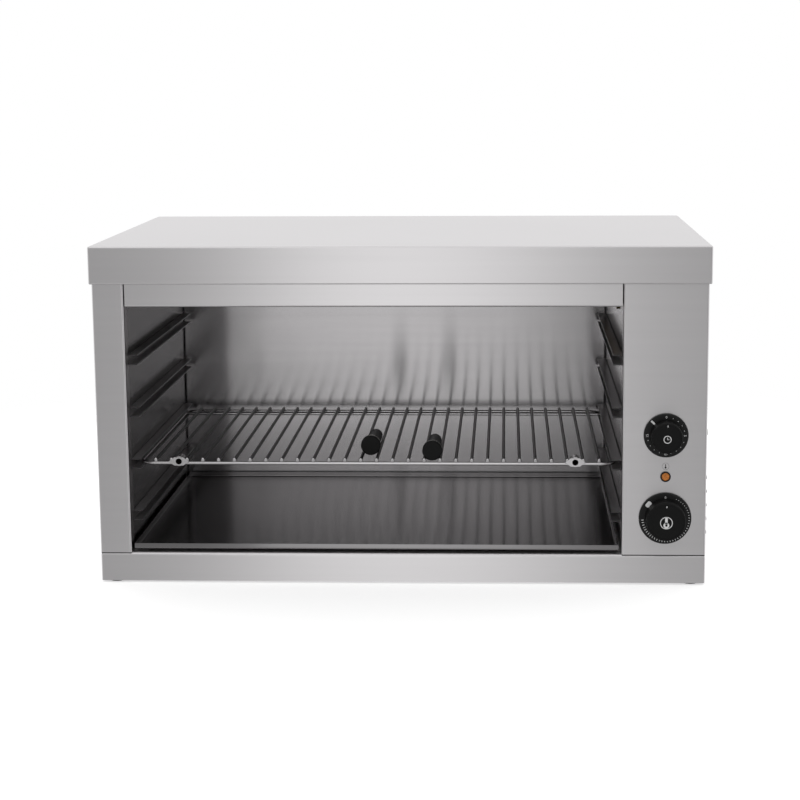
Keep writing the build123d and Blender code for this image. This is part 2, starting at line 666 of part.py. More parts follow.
# ---- Wire grid ---------------------------------------------------------------------
grid_half = (RIGHT_X - LEFT_X) / 2 - GRID_SIDE_CLEARANCE
grid_seat = FIRST_RUNNER_Z + (GRID_LEVEL - 1) * RUNNER_PITCH + SHEET
wire_z = grid_seat + GRID_SEAT_GAP + FRAME_WIRE_RADIUS
grid_front = FRONT_Y + GRID_SETBACK
grid_back = CAVITY_BACK_Y - GRID_BACK_GAP
grid_depth = grid_back - grid_front
grid_plane = Plane(origin=(OPENING_CENTRE_X, (grid_front + grid_back) / 2, wire_z))
bar_spaces = round(2 * grid_half / BAR_SPACING)
bar_pitch = 2 * grid_half / bar_spaces
lug_offset = grid_half - LUG_BAR_FROM_SIDE * bar_pitch
with BuildPart() as grid_frame:
    with BuildLine(grid_plane) as left_half:
        FilletPolyline(
            (0, grid_depth / 2),
            (-grid_half, grid_depth / 2),
            (-grid_half, -grid_depth / 2),
            (0, -grid_depth / 2),
            radius=FRAME_CORNER,
        )
    with BuildSketch(Plane(origin=left_half.line @ 0, z_dir=left_half.line % 0)):
        Circle(FRAME_WIRE_RADIUS)
    sweep(path=left_half.line)
    mirror(about=Plane.YZ.offset(OPENING_CENTRE_X))
    with BuildSketch(Plane.YZ.offset(OPENING_CENTRE_X - grid_half)):
        with Locations((grid_back - BACK_ROD_SPACING, wire_z)):
            Circle(FRAME_WIRE_RADIUS)
    extrude(amount=2 * grid_half)
    with BuildSketch(facing_front(OPENING_CENTRE_X, grid_front - 2 * FRAME_WIRE_RADIUS, wire_z)):
        with GridLocations(2 * lug_offset, 0, 2, 1):
            Rectangle(LUG_WIRE_GAP, 4 * FRAME_WIRE_RADIUS)
    extrude(amount=-4 * FRAME_WIRE_RADIUS, mode=Mode.SUBTRACT)
grid_frame.part.label = "grid_frame"
export_step(grid_frame.part, "parts/grid_frame.step")

bar_z = wire_z + FRAME_WIRE_RADIUS + BAR_RADIUS - WELD_SINK
bar_front = grid_front - BAR_END_OVERHANG
bar_length = grid_depth + 2 * BAR_END_OVERHANG
with BuildPart() as grid_bars:
    with BuildSketch(facing_front(OPENING_CENTRE_X, bar_front, bar_z)):
        with GridLocations(bar_pitch, 0, bar_spaces - 1, 1):
            Circle(BAR_RADIUS)
    extrude(amount=-bar_length)
grid_bars.part.label = "grid_bars"
export_step(grid_bars.part, "parts/grid_bars.step")

lug_face_y = grid_front - FRAME_WIRE_RADIUS + WELD_SINK
for lug_name, lug_x in (
    ("left_handle_lug", OPENING_CENTRE_X - lug_offset),
    ("right_handle_lug", OPENING_CENTRE_X + lug_offset),
):
    with BuildPart() as lug:
        with BuildSketch(facing_front(lug_x, lug_face_y, wire_z + LUG_RISE)):
            Polygon(
                (LUG_WIDTH / 2, 0),
                (LUG_FLAT / 2, LUG_HEIGHT / 2),
                (-LUG_FLAT / 2, LUG_HEIGHT / 2),
                (-LUG_WIDTH / 2, 0),
                (-LUG_FLAT / 2, -LUG_HEIGHT / 2),
                (LUG_FLAT / 2, -LUG_HEIGHT / 2),
                align=None,
            )
        extrude(amount=LUG_THICKNESS)
        with BuildSketch(facing_front(lug_x, lug_face_y, wire_z + LUG_RISE)):
            Circle(LUG_BOSS_RADIUS)
        extrude(amount=LUG_THICKNESS - LUG_HOLE_DEPTH - LUG_BOSS_END)
        with BuildSketch(facing_front(lug_x, lug_face_y - LUG_THICKNESS, wire_z + LUG_RISE)):
            Circle(LUG_HOLE_RADIUS)
        extrude(amount=-LUG_HOLE_DEPTH, mode=Mode.SUBTRACT)
    write_node(lug.part, lug_name)

# ---- Loose handles: they lie in the grooves between two bars, head to the front ----
def groove_height(radius):
    """Height over the bars' centres of a round of this radius lying between two bars."""
    return sqrt((radius + BAR_RADIUS + HANDLE_LIFT) ** 2 - (bar_pitch / 2) ** 2)


head_rest = HANDLE_HEAD_LENGTH / 2
neck_rest = HANDLE_LENGTH - HANDLE_EDGE
handle_drop = groove_height(HANDLE_HEAD_RADIUS) - groove_height(HANDLE_NECK_RADIUS)
handle_droop = asin(handle_drop / (neck_rest - head_rest))
for handle_name, slot, setback in (
    ("left_handle", LEFT_HANDLE_SLOT, LEFT_HANDLE_SETBACK),
    ("right_handle", RIGHT_HANDLE_SLOT, RIGHT_HANDLE_SETBACK),
):
    handle_x = OPENING_CENTRE_X - grid_half + (slot + 0.5) * bar_pitch
    face_z = bar_z + groove_height(HANDLE_HEAD_RADIUS) + head_rest * sin(handle_droop)
    handle_plane = Plane(
        origin=(handle_x, FRONT_Y + setback, face_z),
        x_dir=(1, 0, 0),
        z_dir=(0, cos(handle_droop), -sin(handle_droop)),
    )
    with BuildPart() as grip:
        with BuildSketch(Plane.XZ) as grip_profile:
            with BuildLine():
                start = (HANDLE_HEAD_RADIUS - HANDLE_EDGE, 0)
                Line((0, 0), start)
                rim = RadiusArc(start, (HANDLE_HEAD_RADIUS, HANDLE_EDGE), -HANDLE_EDGE)
                head = Line(rim @ 1, (HANDLE_HEAD_RADIUS, HANDLE_HEAD_LENGTH - HANDLE_EDGE))
                rim_end = (HANDLE_HEAD_RADIUS - HANDLE_EDGE, HANDLE_HEAD_LENGTH)
                RadiusArc(head @ 1, rim_end, -HANDLE_EDGE)
                shoulder = Line(rim_end, (HANDLE_SHOULDER_RADIUS, HANDLE_HEAD_LENGTH))
                neck = Line(shoulder @ 1, (HANDLE_NECK_RADIUS, HANDLE_LENGTH - HANDLE_EDGE))
                back_edge = Line(neck @ 1, (HANDLE_NECK_RADIUS - HANDLE_EDGE, HANDLE_LENGTH))
                Polyline(back_edge @ 1, (0, HANDLE_LENGTH), (0, 0))
            make_face()
        revolve(axis=Axis.Z)
        with BuildSketch(Plane.XY.offset(HANDLE_LENGTH)):
            Circle(STUD_RADIUS)
        extrude(amount=-STUD_DEPTH, mode=Mode.SUBTRACT)
    write_node(handle_plane.location * grip.part, f"{handle_name}_grip")
    with BuildPart() as stud:
        with BuildSketch(Plane.XY.offset(HANDLE_LENGTH - STUD_DEPTH)):
            Circle(STUD_RADIUS)
        extrude(amount=STUD_DEPTH + STUD_REACH)
        chamfer(stud.edges().group_by(Axis.Z)[-1], length=SHEET / 2)
    write_node(handle_plane.location * stud.part, f"{handle_name}_stud")

# ---- Crumb tray --------------------------------------------------------------------
tray_low = BASE_TOP + TRAY_LIFT
with BuildPart() as crumb_tray:
    tray_face = span_face(
        (LEFT_X + TRAY_SIDE_GAP, FRONT_Y + TRAY_SETBACK),
        (RIGHT_X - TRAY_SIDE_GAP, CAVITY_BACK_Y - TRAY_BACK_GAP),
        Plane.XY.offset(tray_low),
    )
    extrude(tray_face, amount=TRAY_DEPTH)
    fillet(crumb_tray.edges().group_by(Axis.Z)[0], radius=BEND)
    offset(amount=-SHEET, openings=crumb_tray.faces().sort_by(Axis.Z)[-1])
crumb_tray.part.label = "crumb_tray"
export_step(crumb_tray.part, "parts/crumb_tray.step")

with BuildPart() as tray_rails:
    with BuildSketch(Plane.XY.offset(tray_low - RAIL_CLEARANCE)):
        with Locations((OPENING_CENTRE_X, (RETURN_Y + CAVITY_BACK_Y - TRAY_BACK_GAP) / 2)):
            with GridLocations(RIGHT_X - LEFT_X - 2 * (TRAY_SIDE_GAP + RAIL_INSET) - RAIL_WIDTH, 0, 2, 1):
                Rectangle(RAIL_WIDTH, CAVITY_BACK_Y - TRAY_BACK_GAP - RETURN_Y)
    extrude(amount=BASE_TOP + RAIL_CLEARANCE - tray_low)
    fillet(tray_rails.edges().group_by(Axis.Z)[-1].filter_by(Axis.Y), radius=SHEET)
tray_rails.part.label = "tray_rails"
export_step(tray_rails.part, "parts/tray_rails.step")

# ---- Grill elements ----------------------------------------------------------------
bend_x = LEFT_X + ELEMENT_END_GAP + ELEMENT_PITCH / 2
tail_x = WALL_RIGHT_X + SHEET + ELEMENT_TAIL
element_names = ("front_element", "rear_element")
for pin in range(HAIRPINS):
    near_y = element_y[2 * pin]
    far_y = element_y[2 * pin + 1]
    with BuildPart() as element:
        with BuildLine(Plane.XY.offset(ELEMENT_Z)) as hairpin:
            near_leg = Line((tail_x, near_y), (bend_x, near_y))
            turn = TangentArc(near_leg @ 1, (bend_x, far_y), tangent=near_leg % 1)
            Line(turn @ 1, (tail_x, far_y))
        with BuildSketch(Plane(origin=(tail_x, near_y, ELEMENT_Z), z_dir=(-1, 0, 0))):
            Circle(ELEMENT_RADIUS)
        sweep(path=hairpin.line)
    write_node(element.part, element_names[pin])

with BuildPart() as element_bushes:
    for leg_y in element_y:
        with BuildSketch(facing_right(WALL_RIGHT_X, leg_y, ELEMENT_Z)):
            Circle(BUSH_FLANGE_RADIUS)
            Circle(ELEMENT_RADIUS, mode=Mode.SUBTRACT)
        extrude(amount=-BUSH_FLANGE)
        with BuildSketch(facing_right(WALL_RIGHT_X, leg_y, ELEMENT_Z)):
            Circle(BUSH_RADIUS)
            Circle(ELEMENT_RADIUS, mode=Mode.SUBTRACT)
        extrude(amount=SHEET)
        with BuildSketch(facing_right(WALL_RIGHT_X + SHEET, leg_y, ELEMENT_Z)):
            RegularPolygon(BUSH_FLANGE_RADIUS, 6)
            Circle(ELEMENT_RADIUS, mode=Mode.SUBTRACT)
        extrude(amount=2 * BUSH_FLANGE)
element_bushes.part.label = "element_bushes"
export_step(element_bushes.part, "parts/element_bushes.step")

with BuildPart() as element_terminals:
    for leg_y in element_y:
        with BuildSketch(facing_right(tail_x, leg_y, ELEMENT_Z)):
            Circle(ELEMENT_RADIUS + SHEET)
        extrude(amount=BUSH_FLANGE)
        with BuildSketch(facing_right(tail_x + BUSH_FLANGE, leg_y, ELEMENT_Z)):
            Circle(TERMINAL_RADIUS)
        extrude(amount=TERMINAL_LENGTH)
element_terminals.part.label = "element_terminals"
export_step(element_terminals.part, "parts/element_terminals.step")

hanger_low = ELEMENT_Z - HANGER_STRIP / 2
strip_ends = (element_y[0] - HANGER_STRIP / 2, element_y[-1] + HANGER_STRIP / 2)
stem_y = [(element_y[leg] + element_y[leg + 1]) / 2 for leg in range(len(element_y) - 1)]
with BuildPart() as element_hangers:
    for hanger_x in (WALL_LEFT_X + HANGER_INSET, WALL_RIGHT_X - HANGER_INSET):
        with BuildSketch(Plane.YZ.offset(hanger_x)):
            add(span_face((strip_ends[0], hanger_low), (strip_ends[1], hanger_low + HANGER_STRIP)))
            for y in stem_y:
                add(span_face((y - HANGER_FOOT / 2, hanger_low), (y + HANGER_FOOT / 2, ROOF_Z)))
            with Locations(*[(leg_y, ELEMENT_Z) for leg_y in element_y]):
                Circle(ELEMENT_RADIUS + HANGER_CLEARANCE, mode=Mode.SUBTRACT)
        extrude(amount=HANGER_SHEET)
        for y in stem_y:
            foot_face = span_face(
                (hanger_x, y - HANGER_FOOT / 2),
                (hanger_x + HANGER_FOOT, y + HANGER_FOOT / 2),
                Plane.XY.offset(ROOF_Z - HANGER_SHEET),
            )
            extrude(foot_face, amount=HANGER_SHEET)
element_hangers.part.label = "element_hangers"
export_step(element_hangers.part, "parts/element_hangers.step")

# ---- Controls ----------------------------------------------------------------------
for control, z, ring_radius, knob_radius, body_width, body_depth in (
    ("timer", TIMER_Z, TIMER_RING_RADIUS, TIMER_KNOB_RADIUS, TIMER_BODY_WIDTH, TIMER_BODY_DEPTH),
    (
        "thermostat",
        THERMOSTAT_Z,
        THERMOSTAT_RING_RADIUS,
        THERMOSTAT_KNOB_RADIUS,
        THERMOSTAT_BODY_WIDTH,
        THERMOSTAT_BODY_DEPTH,
    ),
):
    knob_back_y = FRONT_Y - RING_THICKNESS - KNOB_BACK_GAP
    knob_depth = KNOB_PROUD - RING_THICKNESS - KNOB_BACK_GAP
    with BuildPart() as dial_ring:
        with BuildSketch(facing_front(CONTROL_X, FRONT_Y, z)):
            Circle(ring_radius)
            Circle(FIXING_SPACING / 2 + SCREW_HEAD_RADIUS + RING_INNER_GAP, mode=Mode.SUBTRACT)
        extrude(amount=RING_THICKNESS)
        chamfer(dial_ring.edges().group_by(Axis.Y)[0].sort_by(SortBy.RADIUS)[-1], length=RING_EDGE)
    write_node(dial_ring.part, f"{control}_dial_ring")
    with BuildPart() as knob:
        with BuildSketch(facing_front(CONTROL_X, knob_back_y, z)):
            Circle(knob_radius)
        with BuildSketch(facing_front(CONTROL_X, knob_back_y - knob_depth, z)):
            Circle(knob_radius - KNOB_DRAFT)
        loft()
        fillet(knob.edges().group_by(Axis.Y)[0], radius=KNOB_EDGE)
        with BuildSketch(facing_front(CONTROL_X, knob_back_y - knob_depth, z)):
            Circle(knob_radius - KNOB_RIM)
        extrude(amount=-KNOB_DISH, mode=Mode.SUBTRACT)
        with BuildSketch(facing_front(CONTROL_X, knob_back_y, z)):
            Circle(SPINDLE_RADIUS)
        extrude(amount=SPINDLE_IN_KNOB, mode=Mode.SUBTRACT)
    write_node(knob.part, f"{control}_knob")
    with BuildPart() as spindle:
        with BuildSketch(facing_front(CONTROL_X, knob_back_y - SPINDLE_IN_KNOB, z)):
            Circle(SPINDLE_RADIUS)
        extrude(amount=-(SPINDLE_IN_KNOB + RING_THICKNESS + KNOB_BACK_GAP + SPINDLE_IN_BODY))
    write_node(spindle.part, f"{control}_spindle")
    with BuildPart() as control_body:
        with BuildSketch(facing_front(CONTROL_X, FRONT_Y + SHEET, z)):
            RectangleRounded(body_width, body_width, BEND)
            with GridLocations(FIXING_SPACING, 0, 2, 1):
                Circle(SCREW_RADIUS, mode=Mode.SUBTRACT)
        extrude(amount=-body_depth)
        with BuildSketch(facing_front(CONTROL_X, FRONT_Y + SHEET, z)):
            Circle(COLLAR_RADIUS)
        extrude(amount=SHEET + COLLAR_PROUD)
        with BuildSketch(facing_front(CONTROL_X, FRONT_Y - COLLAR_PROUD, z)):
            Circle(SPINDLE_RADIUS + SPINDLE_FIT)
        extrude(amount=-(COLLAR_PROUD + SPINDLE_IN_BODY + SPINDLE_FIT), mode=Mode.SUBTRACT)
    write_node(control_body.part, f"{control}_body")

# ---- Pilot lamp --------------------------------------------------------------------
with BuildPart() as pilot_bezel:
    with BuildSketch(facing_front(CONTROL_X, FRONT_Y, LAMP_Z)):
        Circle(LAMP_BEZEL_RADIUS)
        Circle(LAMP_LENS_RADIUS, mode=Mode.SUBTRACT)
    extrude(amount=LAMP_BEZEL_PROUD)
    with BuildSketch(facing_front(CONTROL_X, FRONT_Y, LAMP_Z)):
        Circle(LAMP_BARREL_RADIUS)
        Circle(LAMP_LENS_RADIUS, mode=Mode.SUBTRACT)
    extrude(amount=-LAMP_LENGTH)
pilot_bezel.part.label = "pilot_bezel"
export_step(pilot_bezel.part, "parts/pilot_bezel.step")

with BuildPart() as pilot_lens:
    with BuildSketch(facing_front(CONTROL_X, FRONT_Y + LAMP_LENGTH / 2, LAMP_Z)):
        Circle(LAMP_LENS_RADIUS)
    extrude(amount=LAMP_LENGTH / 2 + LAMP_BEZEL_PROUD)
    fillet(pilot_lens.edges().group_by(Axis.Y)[0], radius=SHEET)
pilot_lens.part.label = "pilot_lens"
export_step(pilot_lens.part, "parts/pilot_lens.step")

# ---- Thermostat bulb on its capillary ----------------------------------------------
thermostat_back_y = FRONT_Y + SHEET + THERMOSTAT_BODY_DEPTH
capillary_x = CONTROL_X - THERMOSTAT_BODY_WIDTH / 4
with BuildPart() as thermostat_bulb:
    with BuildLine() as capillary:
        FilletPolyline(
            (capillary_x, thermostat_back_y, THERMOSTAT_Z),
            (capillary_x, bulb_y, THERMOSTAT_Z),
            (capillary_x, bulb_y, bulb_z),
            (bulb_x, bulb_y, bulb_z),
            radius=CAPILLARY_BEND,
        )
    with BuildSketch(facing_back(capillary_x, thermostat_back_y, THERMOSTAT_Z)):
        Circle(CAPILLARY_RADIUS)
    sweep(path=capillary.line)
    with BuildSketch(facing_back(bulb_x, bulb_y - BULB_RADIUS, bulb_z)):
        Circle(BULB_RADIUS)
    extrude(amount=BULB_LENGTH)
thermostat_bulb.part.label = "thermostat_bulb"
export_step(thermostat_bulb.part, "parts/thermostat_bulb.step")

with BuildPart() as bulb_clips:
    for share in CLIP_SHARES:
        with BuildSketch(Plane.XZ.offset(-(bulb_y + share * BULB_LENGTH))):
            with Locations((bulb_x, bulb_z)):
                Circle(BULB_RADIUS + CLIP_SHEET)
                Circle(BULB_RADIUS, mode=Mode.SUBTRACT)
            add(
                span_face(
                    (bulb_x + BULB_RADIUS, bulb_z - CLIP_SHEET),
                    (WALL_RIGHT_X, bulb_z + CLIP_SHEET),
                )
            )
            add(
                span_face(
                    (WALL_RIGHT_X - CLIP_SHEET, bulb_z - CLIP_WIDTH / 2),
                    (WALL_RIGHT_X, bulb_z + CLIP_WIDTH / 2),
                )
            )
        extrude(amount=-CLIP_WIDTH)
bulb_clips.part.label = "bulb_clips"
export_step(bulb_clips.part, "parts/bulb_clips.step")

# ---- Mains inlet: gland in the rear panel and terminal block on the deck -----------
with BuildPart() as cable_gland:
    with BuildSketch(facing_back(CONTROL_X, CASING_BACK_Y - GLAND_NUT, gland_z)):
        RegularPolygon(GLAND_NUT_RADIUS, 6)
    extrude(amount=GLAND_NUT)
    with BuildSketch(facing_back(CONTROL_X, CASING_BACK_Y, gland_z)):
        Circle(GLAND_THREAD_RADIUS)
    extrude(amount=SHEET)
    with BuildSketch(facing_back(CONTROL_X, BACK_Y, gland_z)):
        RegularPolygon(GLAND_NUT_RADIUS, 6)
    extrude(amount=GLAND_NUT)
    with BuildSketch(facing_back(CONTROL_X, BACK_Y + GLAND_NUT, gland_z)):
        Circle(GLAND_THREAD_RADIUS + SHEET)
    extrude(amount=GLAND_DOME)
    fillet(cable_gland.edges().group_by(Axis.Y)[-1], radius=2 * SHEET)
    with BuildSketch(facing_back(CONTROL_X, CASING_BACK_Y - GLAND_NUT, gland_z)):
        Circle(GLAND_BORE_RADIUS)
    extrude(amount=2 * GLAND_NUT + SHEET + GLAND_DOME, mode=Mode.SUBTRACT)
cable_gland.part.label = "cable_gland"
export_step(cable_gland.part, "parts/cable_gland.step")

block_length, block_width, block_height = TERMINAL_BLOCK_SIZE
block_y = element_y[-1] - block_width / 2
with BuildPart() as terminal_block:
    with BuildSketch(deck):
        with Locations((CONTROL_X, block_y)):
            RectangleRounded(block_length, block_width, BEND)
    extrude(amount=block_height)
    with BuildSketch(deck.offset(block_height)):
        with Locations((CONTROL_X, block_y)):
            with GridLocations(block_length / 3, 0, 3, 1):
                Circle(SCREW_HEAD_RADIUS)
    extrude(amount=-block_height / 2, mode=Mode.SUBTRACT)
    with BuildSketch(Plane.XZ.offset(-(block_y - block_width / 2))):
        with Locations((CONTROL_X, BASE_TOP + block_height / 3)):
            with GridLocations(block_length / 3, 0, 3, 1):
                Circle(WIRE_WAY_RADIUS)
    extrude(amount=-block_width, mode=Mode.SUBTRACT)
terminal_block.part.label = "terminal_block"
export_step(terminal_block.part, "parts/terminal_block.step")

# ---- Wiring inside the control compartment: mains, timer, thermostat, lamp, elements
timer_back_y = FRONT_Y + SHEET + TIMER_BODY_DEPTH
pin_x = tail_x + BUSH_FLANGE + TERMINAL_LENGTH
riser_x = pin_x + 2 * WIRE_BEND + SHEET
way_z = BASE_TOP + block_height / 3
live_x = CONTROL_X - block_length / 3
neutral_x = CONTROL_X + block_length / 3
switched_x = CONTROL_X + TIMER_BODY_WIDTH / 8
timer_tag_z = TIMER_Z - TIMER_BODY_WIDTH / 4
thermostat_tag_z = THERMOSTAT_Z + THERMOSTAT_BODY_WIDTH / 4
neutral_riser_y = block_y + block_width
wire_routes = (
    (
        (live_x, block_y, way_z),
        (live_x, element_y[0], way_z),
        (live_x, element_y[0], TIMER_Z),
        (live_x, timer_back_y, TIMER_Z),
    ),
    (
        (switched_x, timer_back_y, timer_tag_z),
        (switched_x, timer_back_y + WIRE_LOOP, timer_tag_z),
        (switched_x, timer_back_y + WIRE_LOOP, THERMOSTAT_Z),
        (switched_x, thermostat_back_y, THERMOSTAT_Z),
    ),
    (
        (riser_x, thermostat_back_y, thermostat_tag_z),
        (riser_x, element_y[0], thermostat_tag_z),
        (riser_x, element_y[0], ELEMENT_Z),
        (pin_x, element_y[0], ELEMENT_Z),
    ),
    (
        (pin_x, element_y[1], ELEMENT_Z),
        (riser_x, element_y[1], ELEMENT_Z),
        (riser_x, element_y[2], ELEMENT_Z),
        (pin_x, element_y[2], ELEMENT_Z),
    ),
    (
        (pin_x, element_y[3], ELEMENT_Z),
        (neutral_x, element_y[3], ELEMENT_Z),
        (neutral_x, neutral_riser_y, ELEMENT_Z),
        (neutral_x, neutral_riser_y, way_z),
        (neutral_x, block_y, way_z),
    ),
    (
        (CONTROL_X, FRONT_Y + 3 * LAMP_LENGTH / 4, LAMP_Z),
        (CONTROL_X, thermostat_back_y + WIRE_LOOP / 2, LAMP_Z),
        (CONTROL_X, thermostat_back_y + WIRE_LOOP / 2, THERMOSTAT_Z),
        (CONTROL_X, thermostat_back_y, THERMOSTAT_Z),
    ),
)
with BuildPart() as wiring_loom:
    for route in wire_routes:
        with BuildLine() as wire_line:
            FilletPolyline(*route, radius=WIRE_BEND)
        with BuildSketch(Plane(origin=route[0], z_dir=Vector(*route[1]) - Vector(*route[0]))):
            Circle(WIRE_RADIUS)
        sweep(path=wire_line.line)
wiring_loom.part.label = "wiring_loom"
export_step(wiring_loom.part, "parts/wiring_loom.step")
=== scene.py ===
"""Countertop cheese melter: finishes, printed dials, welds, screw recesses and the studio around it."""

import json
import logging
import math
from collections.abc import Callable, Iterator
from contextlib import contextmanager
from dataclasses import dataclass
from enum import Enum

import bpy
from bpy.types import Material, Node, NodeSocket, NodeTree, Object
from mathutils import Matrix, Vector


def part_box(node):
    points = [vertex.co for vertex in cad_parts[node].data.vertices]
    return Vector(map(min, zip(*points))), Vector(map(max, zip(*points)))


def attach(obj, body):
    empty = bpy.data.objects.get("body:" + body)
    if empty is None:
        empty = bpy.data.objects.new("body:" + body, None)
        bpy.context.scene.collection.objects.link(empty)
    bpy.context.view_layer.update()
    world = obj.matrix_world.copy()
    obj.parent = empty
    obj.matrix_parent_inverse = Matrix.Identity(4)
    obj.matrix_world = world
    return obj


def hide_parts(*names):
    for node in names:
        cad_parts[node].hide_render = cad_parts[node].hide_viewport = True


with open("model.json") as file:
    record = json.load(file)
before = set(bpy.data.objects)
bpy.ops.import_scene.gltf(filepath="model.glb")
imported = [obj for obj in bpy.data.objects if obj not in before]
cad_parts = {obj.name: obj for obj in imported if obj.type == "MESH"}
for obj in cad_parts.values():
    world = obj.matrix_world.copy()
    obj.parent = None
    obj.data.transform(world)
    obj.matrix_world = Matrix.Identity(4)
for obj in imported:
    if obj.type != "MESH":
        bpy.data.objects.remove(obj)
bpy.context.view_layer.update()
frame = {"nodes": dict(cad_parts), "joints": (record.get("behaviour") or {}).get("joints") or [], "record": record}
MM = 0.001
LOG = logging.getLogger("cheese_melter")

# A print stands this far proud of its face, and is sunk a little so that no gap shows behind it.
PRINT_HEIGHT_MM = 0.09
PRINT_SINK_MM = 0.02
PRINT_CORNER_SHARE = 0.3
DIGIT_SHARE = 0.7
MERGE_DISTANCE = 1e-6
SMOOTH_UNDER = math.radians(35)

# Width, height, and the X and Y of the middle of a printed bar, in millimetres.
Bar = tuple[float, float, float, float]


class Facing(Enum):
    """Side of the cabinet that a small piece looks out of, as the turn of its own +Z."""

    FRONT = Matrix.Rotation(math.radians(90), 4, "X")
    BACK = Matrix.Rotation(math.radians(-90), 4, "X")
    RIGHT = Matrix.Rotation(math.radians(90), 4, "Z") @ Matrix.Rotation(math.radians(90), 4, "X")


# ---- Shader helpers ----

# Dents of rolled sheet, in cycles per metre.
WAVES_PER_METRE = 12.0
# Broad changes of tone are this many times longer and wider than the belt's scratches.
BROAD_ALONG, BROAD_ACROSS = 4, 12
# A face that looks forward gets the painted shade of a front end where the Y of its normal goes past these values.
SHADED_END_FROM, SHADED_END_TO = -0.98, -0.94
BRUSHED_BUMP, FINE_BUMP, FULL_BUMP = 0.6, 0.5, 1.0


def linear(hex_colour: str) -> tuple[float, float, float, float]:
    """Turn an sRGB hex colour into a linear RGBA value.

    Args:
        hex_colour: Six hex digits, with or without a leading hash.

    Returns:
        The colour as linear red, green and blue with an alpha of one.
    """
    digits = hex_colour.lstrip("#")
    channels = [int(digits[i : i + 2], 16) / 255 for i in (0, 2, 4)]
    return tuple(c / 12.92 if c <= 0.04045 else ((c + 0.055) / 1.055) ** 2.4 for c in channels) + (1.0,)


def grey(level: float) -> tuple[float, float, float, float]:
    """Return a linear grey with an alpha of one."""
    return (level, level, level, 1.0)


def put(tree: NodeTree, kind: str, inputs: dict | None = None, **settings) -> Node:
    """Add a node, set its properties and fill or link its inputs.

    Args:
        tree: Node tree that receives the node.
        kind: Blender's name for the node's type.
        inputs: Value or output socket for each input, by the input's name or number.
        settings: Properties of the node itself, such as operation or data_type.

    Returns:
        The new node.
    """
    node = tree.nodes.new(kind)
    for key, value in settings.items():
        setattr(node, key, value)
    for key, value in (inputs or {}).items():
        if isinstance(value, NodeSocket):
            tree.links.new(value, node.inputs[key])
        else:
            node.inputs[key].default_value = value
    return node


def new_material(name: str) -> tuple[Material, NodeTree, Node]:
    """Start a node material.

    Args:
        name: Name of the finish.

    Returns:
        The material, its empty node tree and its output node.
    """
    material = bpy.data.materials.new(name)
    material.use_nodes = True
    material.node_tree.nodes.clear()
    return material, material.node_tree, put(material.node_tree, "ShaderNodeOutputMaterial")


def streaks(tree: NodeTree, stretch: tuple[float, float, float], detail: float) -> NodeSocket:
    """Noise drawn out along one axis, as a sanding belt leaves it.

    Args:
        tree: Node tree of the material.
        stretch: Cycles of noise per metre along X, Y and Z.
        detail: Octaves of finer noise on top.

    Returns:
        The noise value, from 0 to 1.
    """
    place = put(tree, "ShaderNodeTexCoord").outputs["Object"]
    mapping = put(tree, "ShaderNodeMapping", {"Vector": place, "Scale": stretch})
    noise = put(tree, "ShaderNodeTexNoise", {"Vector": mapping.outputs[0], "Scale": 1.0, "Detail": detail})
    return noise.outputs[0]


def ranged(tree: NodeTree, value: NodeSocket, low: float, high: float, spread: float = 0.2) -> NodeSocket:
    """Map the middle of a noise value to a range.

    Args:
        tree: Node tree of the material.
        value: Noise from 0 to 1.
        low: Result at the low end.
        high: Result at the high end.
        spread: Half the width of the noise values that are used.

    Returns:
        The mapped value.
    """
    inputs = {"Value": value, 1: 0.5 - spread, 2: 0.5 + spread, 3: low, 4: high}
    return put(tree, "ShaderNodeMapRange", inputs).outputs[0]


def toned(tree: NodeTree, tint: str, light: NodeSocket) -> NodeSocket:
    """Multiply a colour by a changing light value.

    Args:
        tree: Node tree of the material.
        tint: The colour in hex.
        light: Factor, around 1.

    Returns:
        The toned colour.
    """
    inputs = {0: linear(tint)[:3], "Scale": light}
    return put(tree, "ShaderNodeVectorMath", inputs, operation="SCALE").outputs[0]


def raised(tree: NodeTree, height: NodeSocket, distance_mm: float, strength: float, **under) -> NodeSocket:
    """Bump a surface by a noise value.

    Args:
        tree: Node tree of the material.
        height: Noise from 0 to 1.
        distance_mm: Height of the bumps.
        strength: How much of them shows, from 0 to 1.
        under: The Normal that they lie on, if it isn't the surface's own.

    Returns:
        The bumped normal.
    """
    inputs = {"Height": height, "Distance": distance_mm * MM, "Strength": strength, **under}
    return put(tree, "ShaderNodeBump", inputs).outputs[0]


def surface(tree: NodeTree, out: Node, inputs: dict) -> None:
    """Close a material with a principled shader that has these inputs."""
    shader = put(tree, "ShaderNodeBsdfPrincipled", inputs)
    tree.links.new(shader.outputs[0], out.inputs[0])


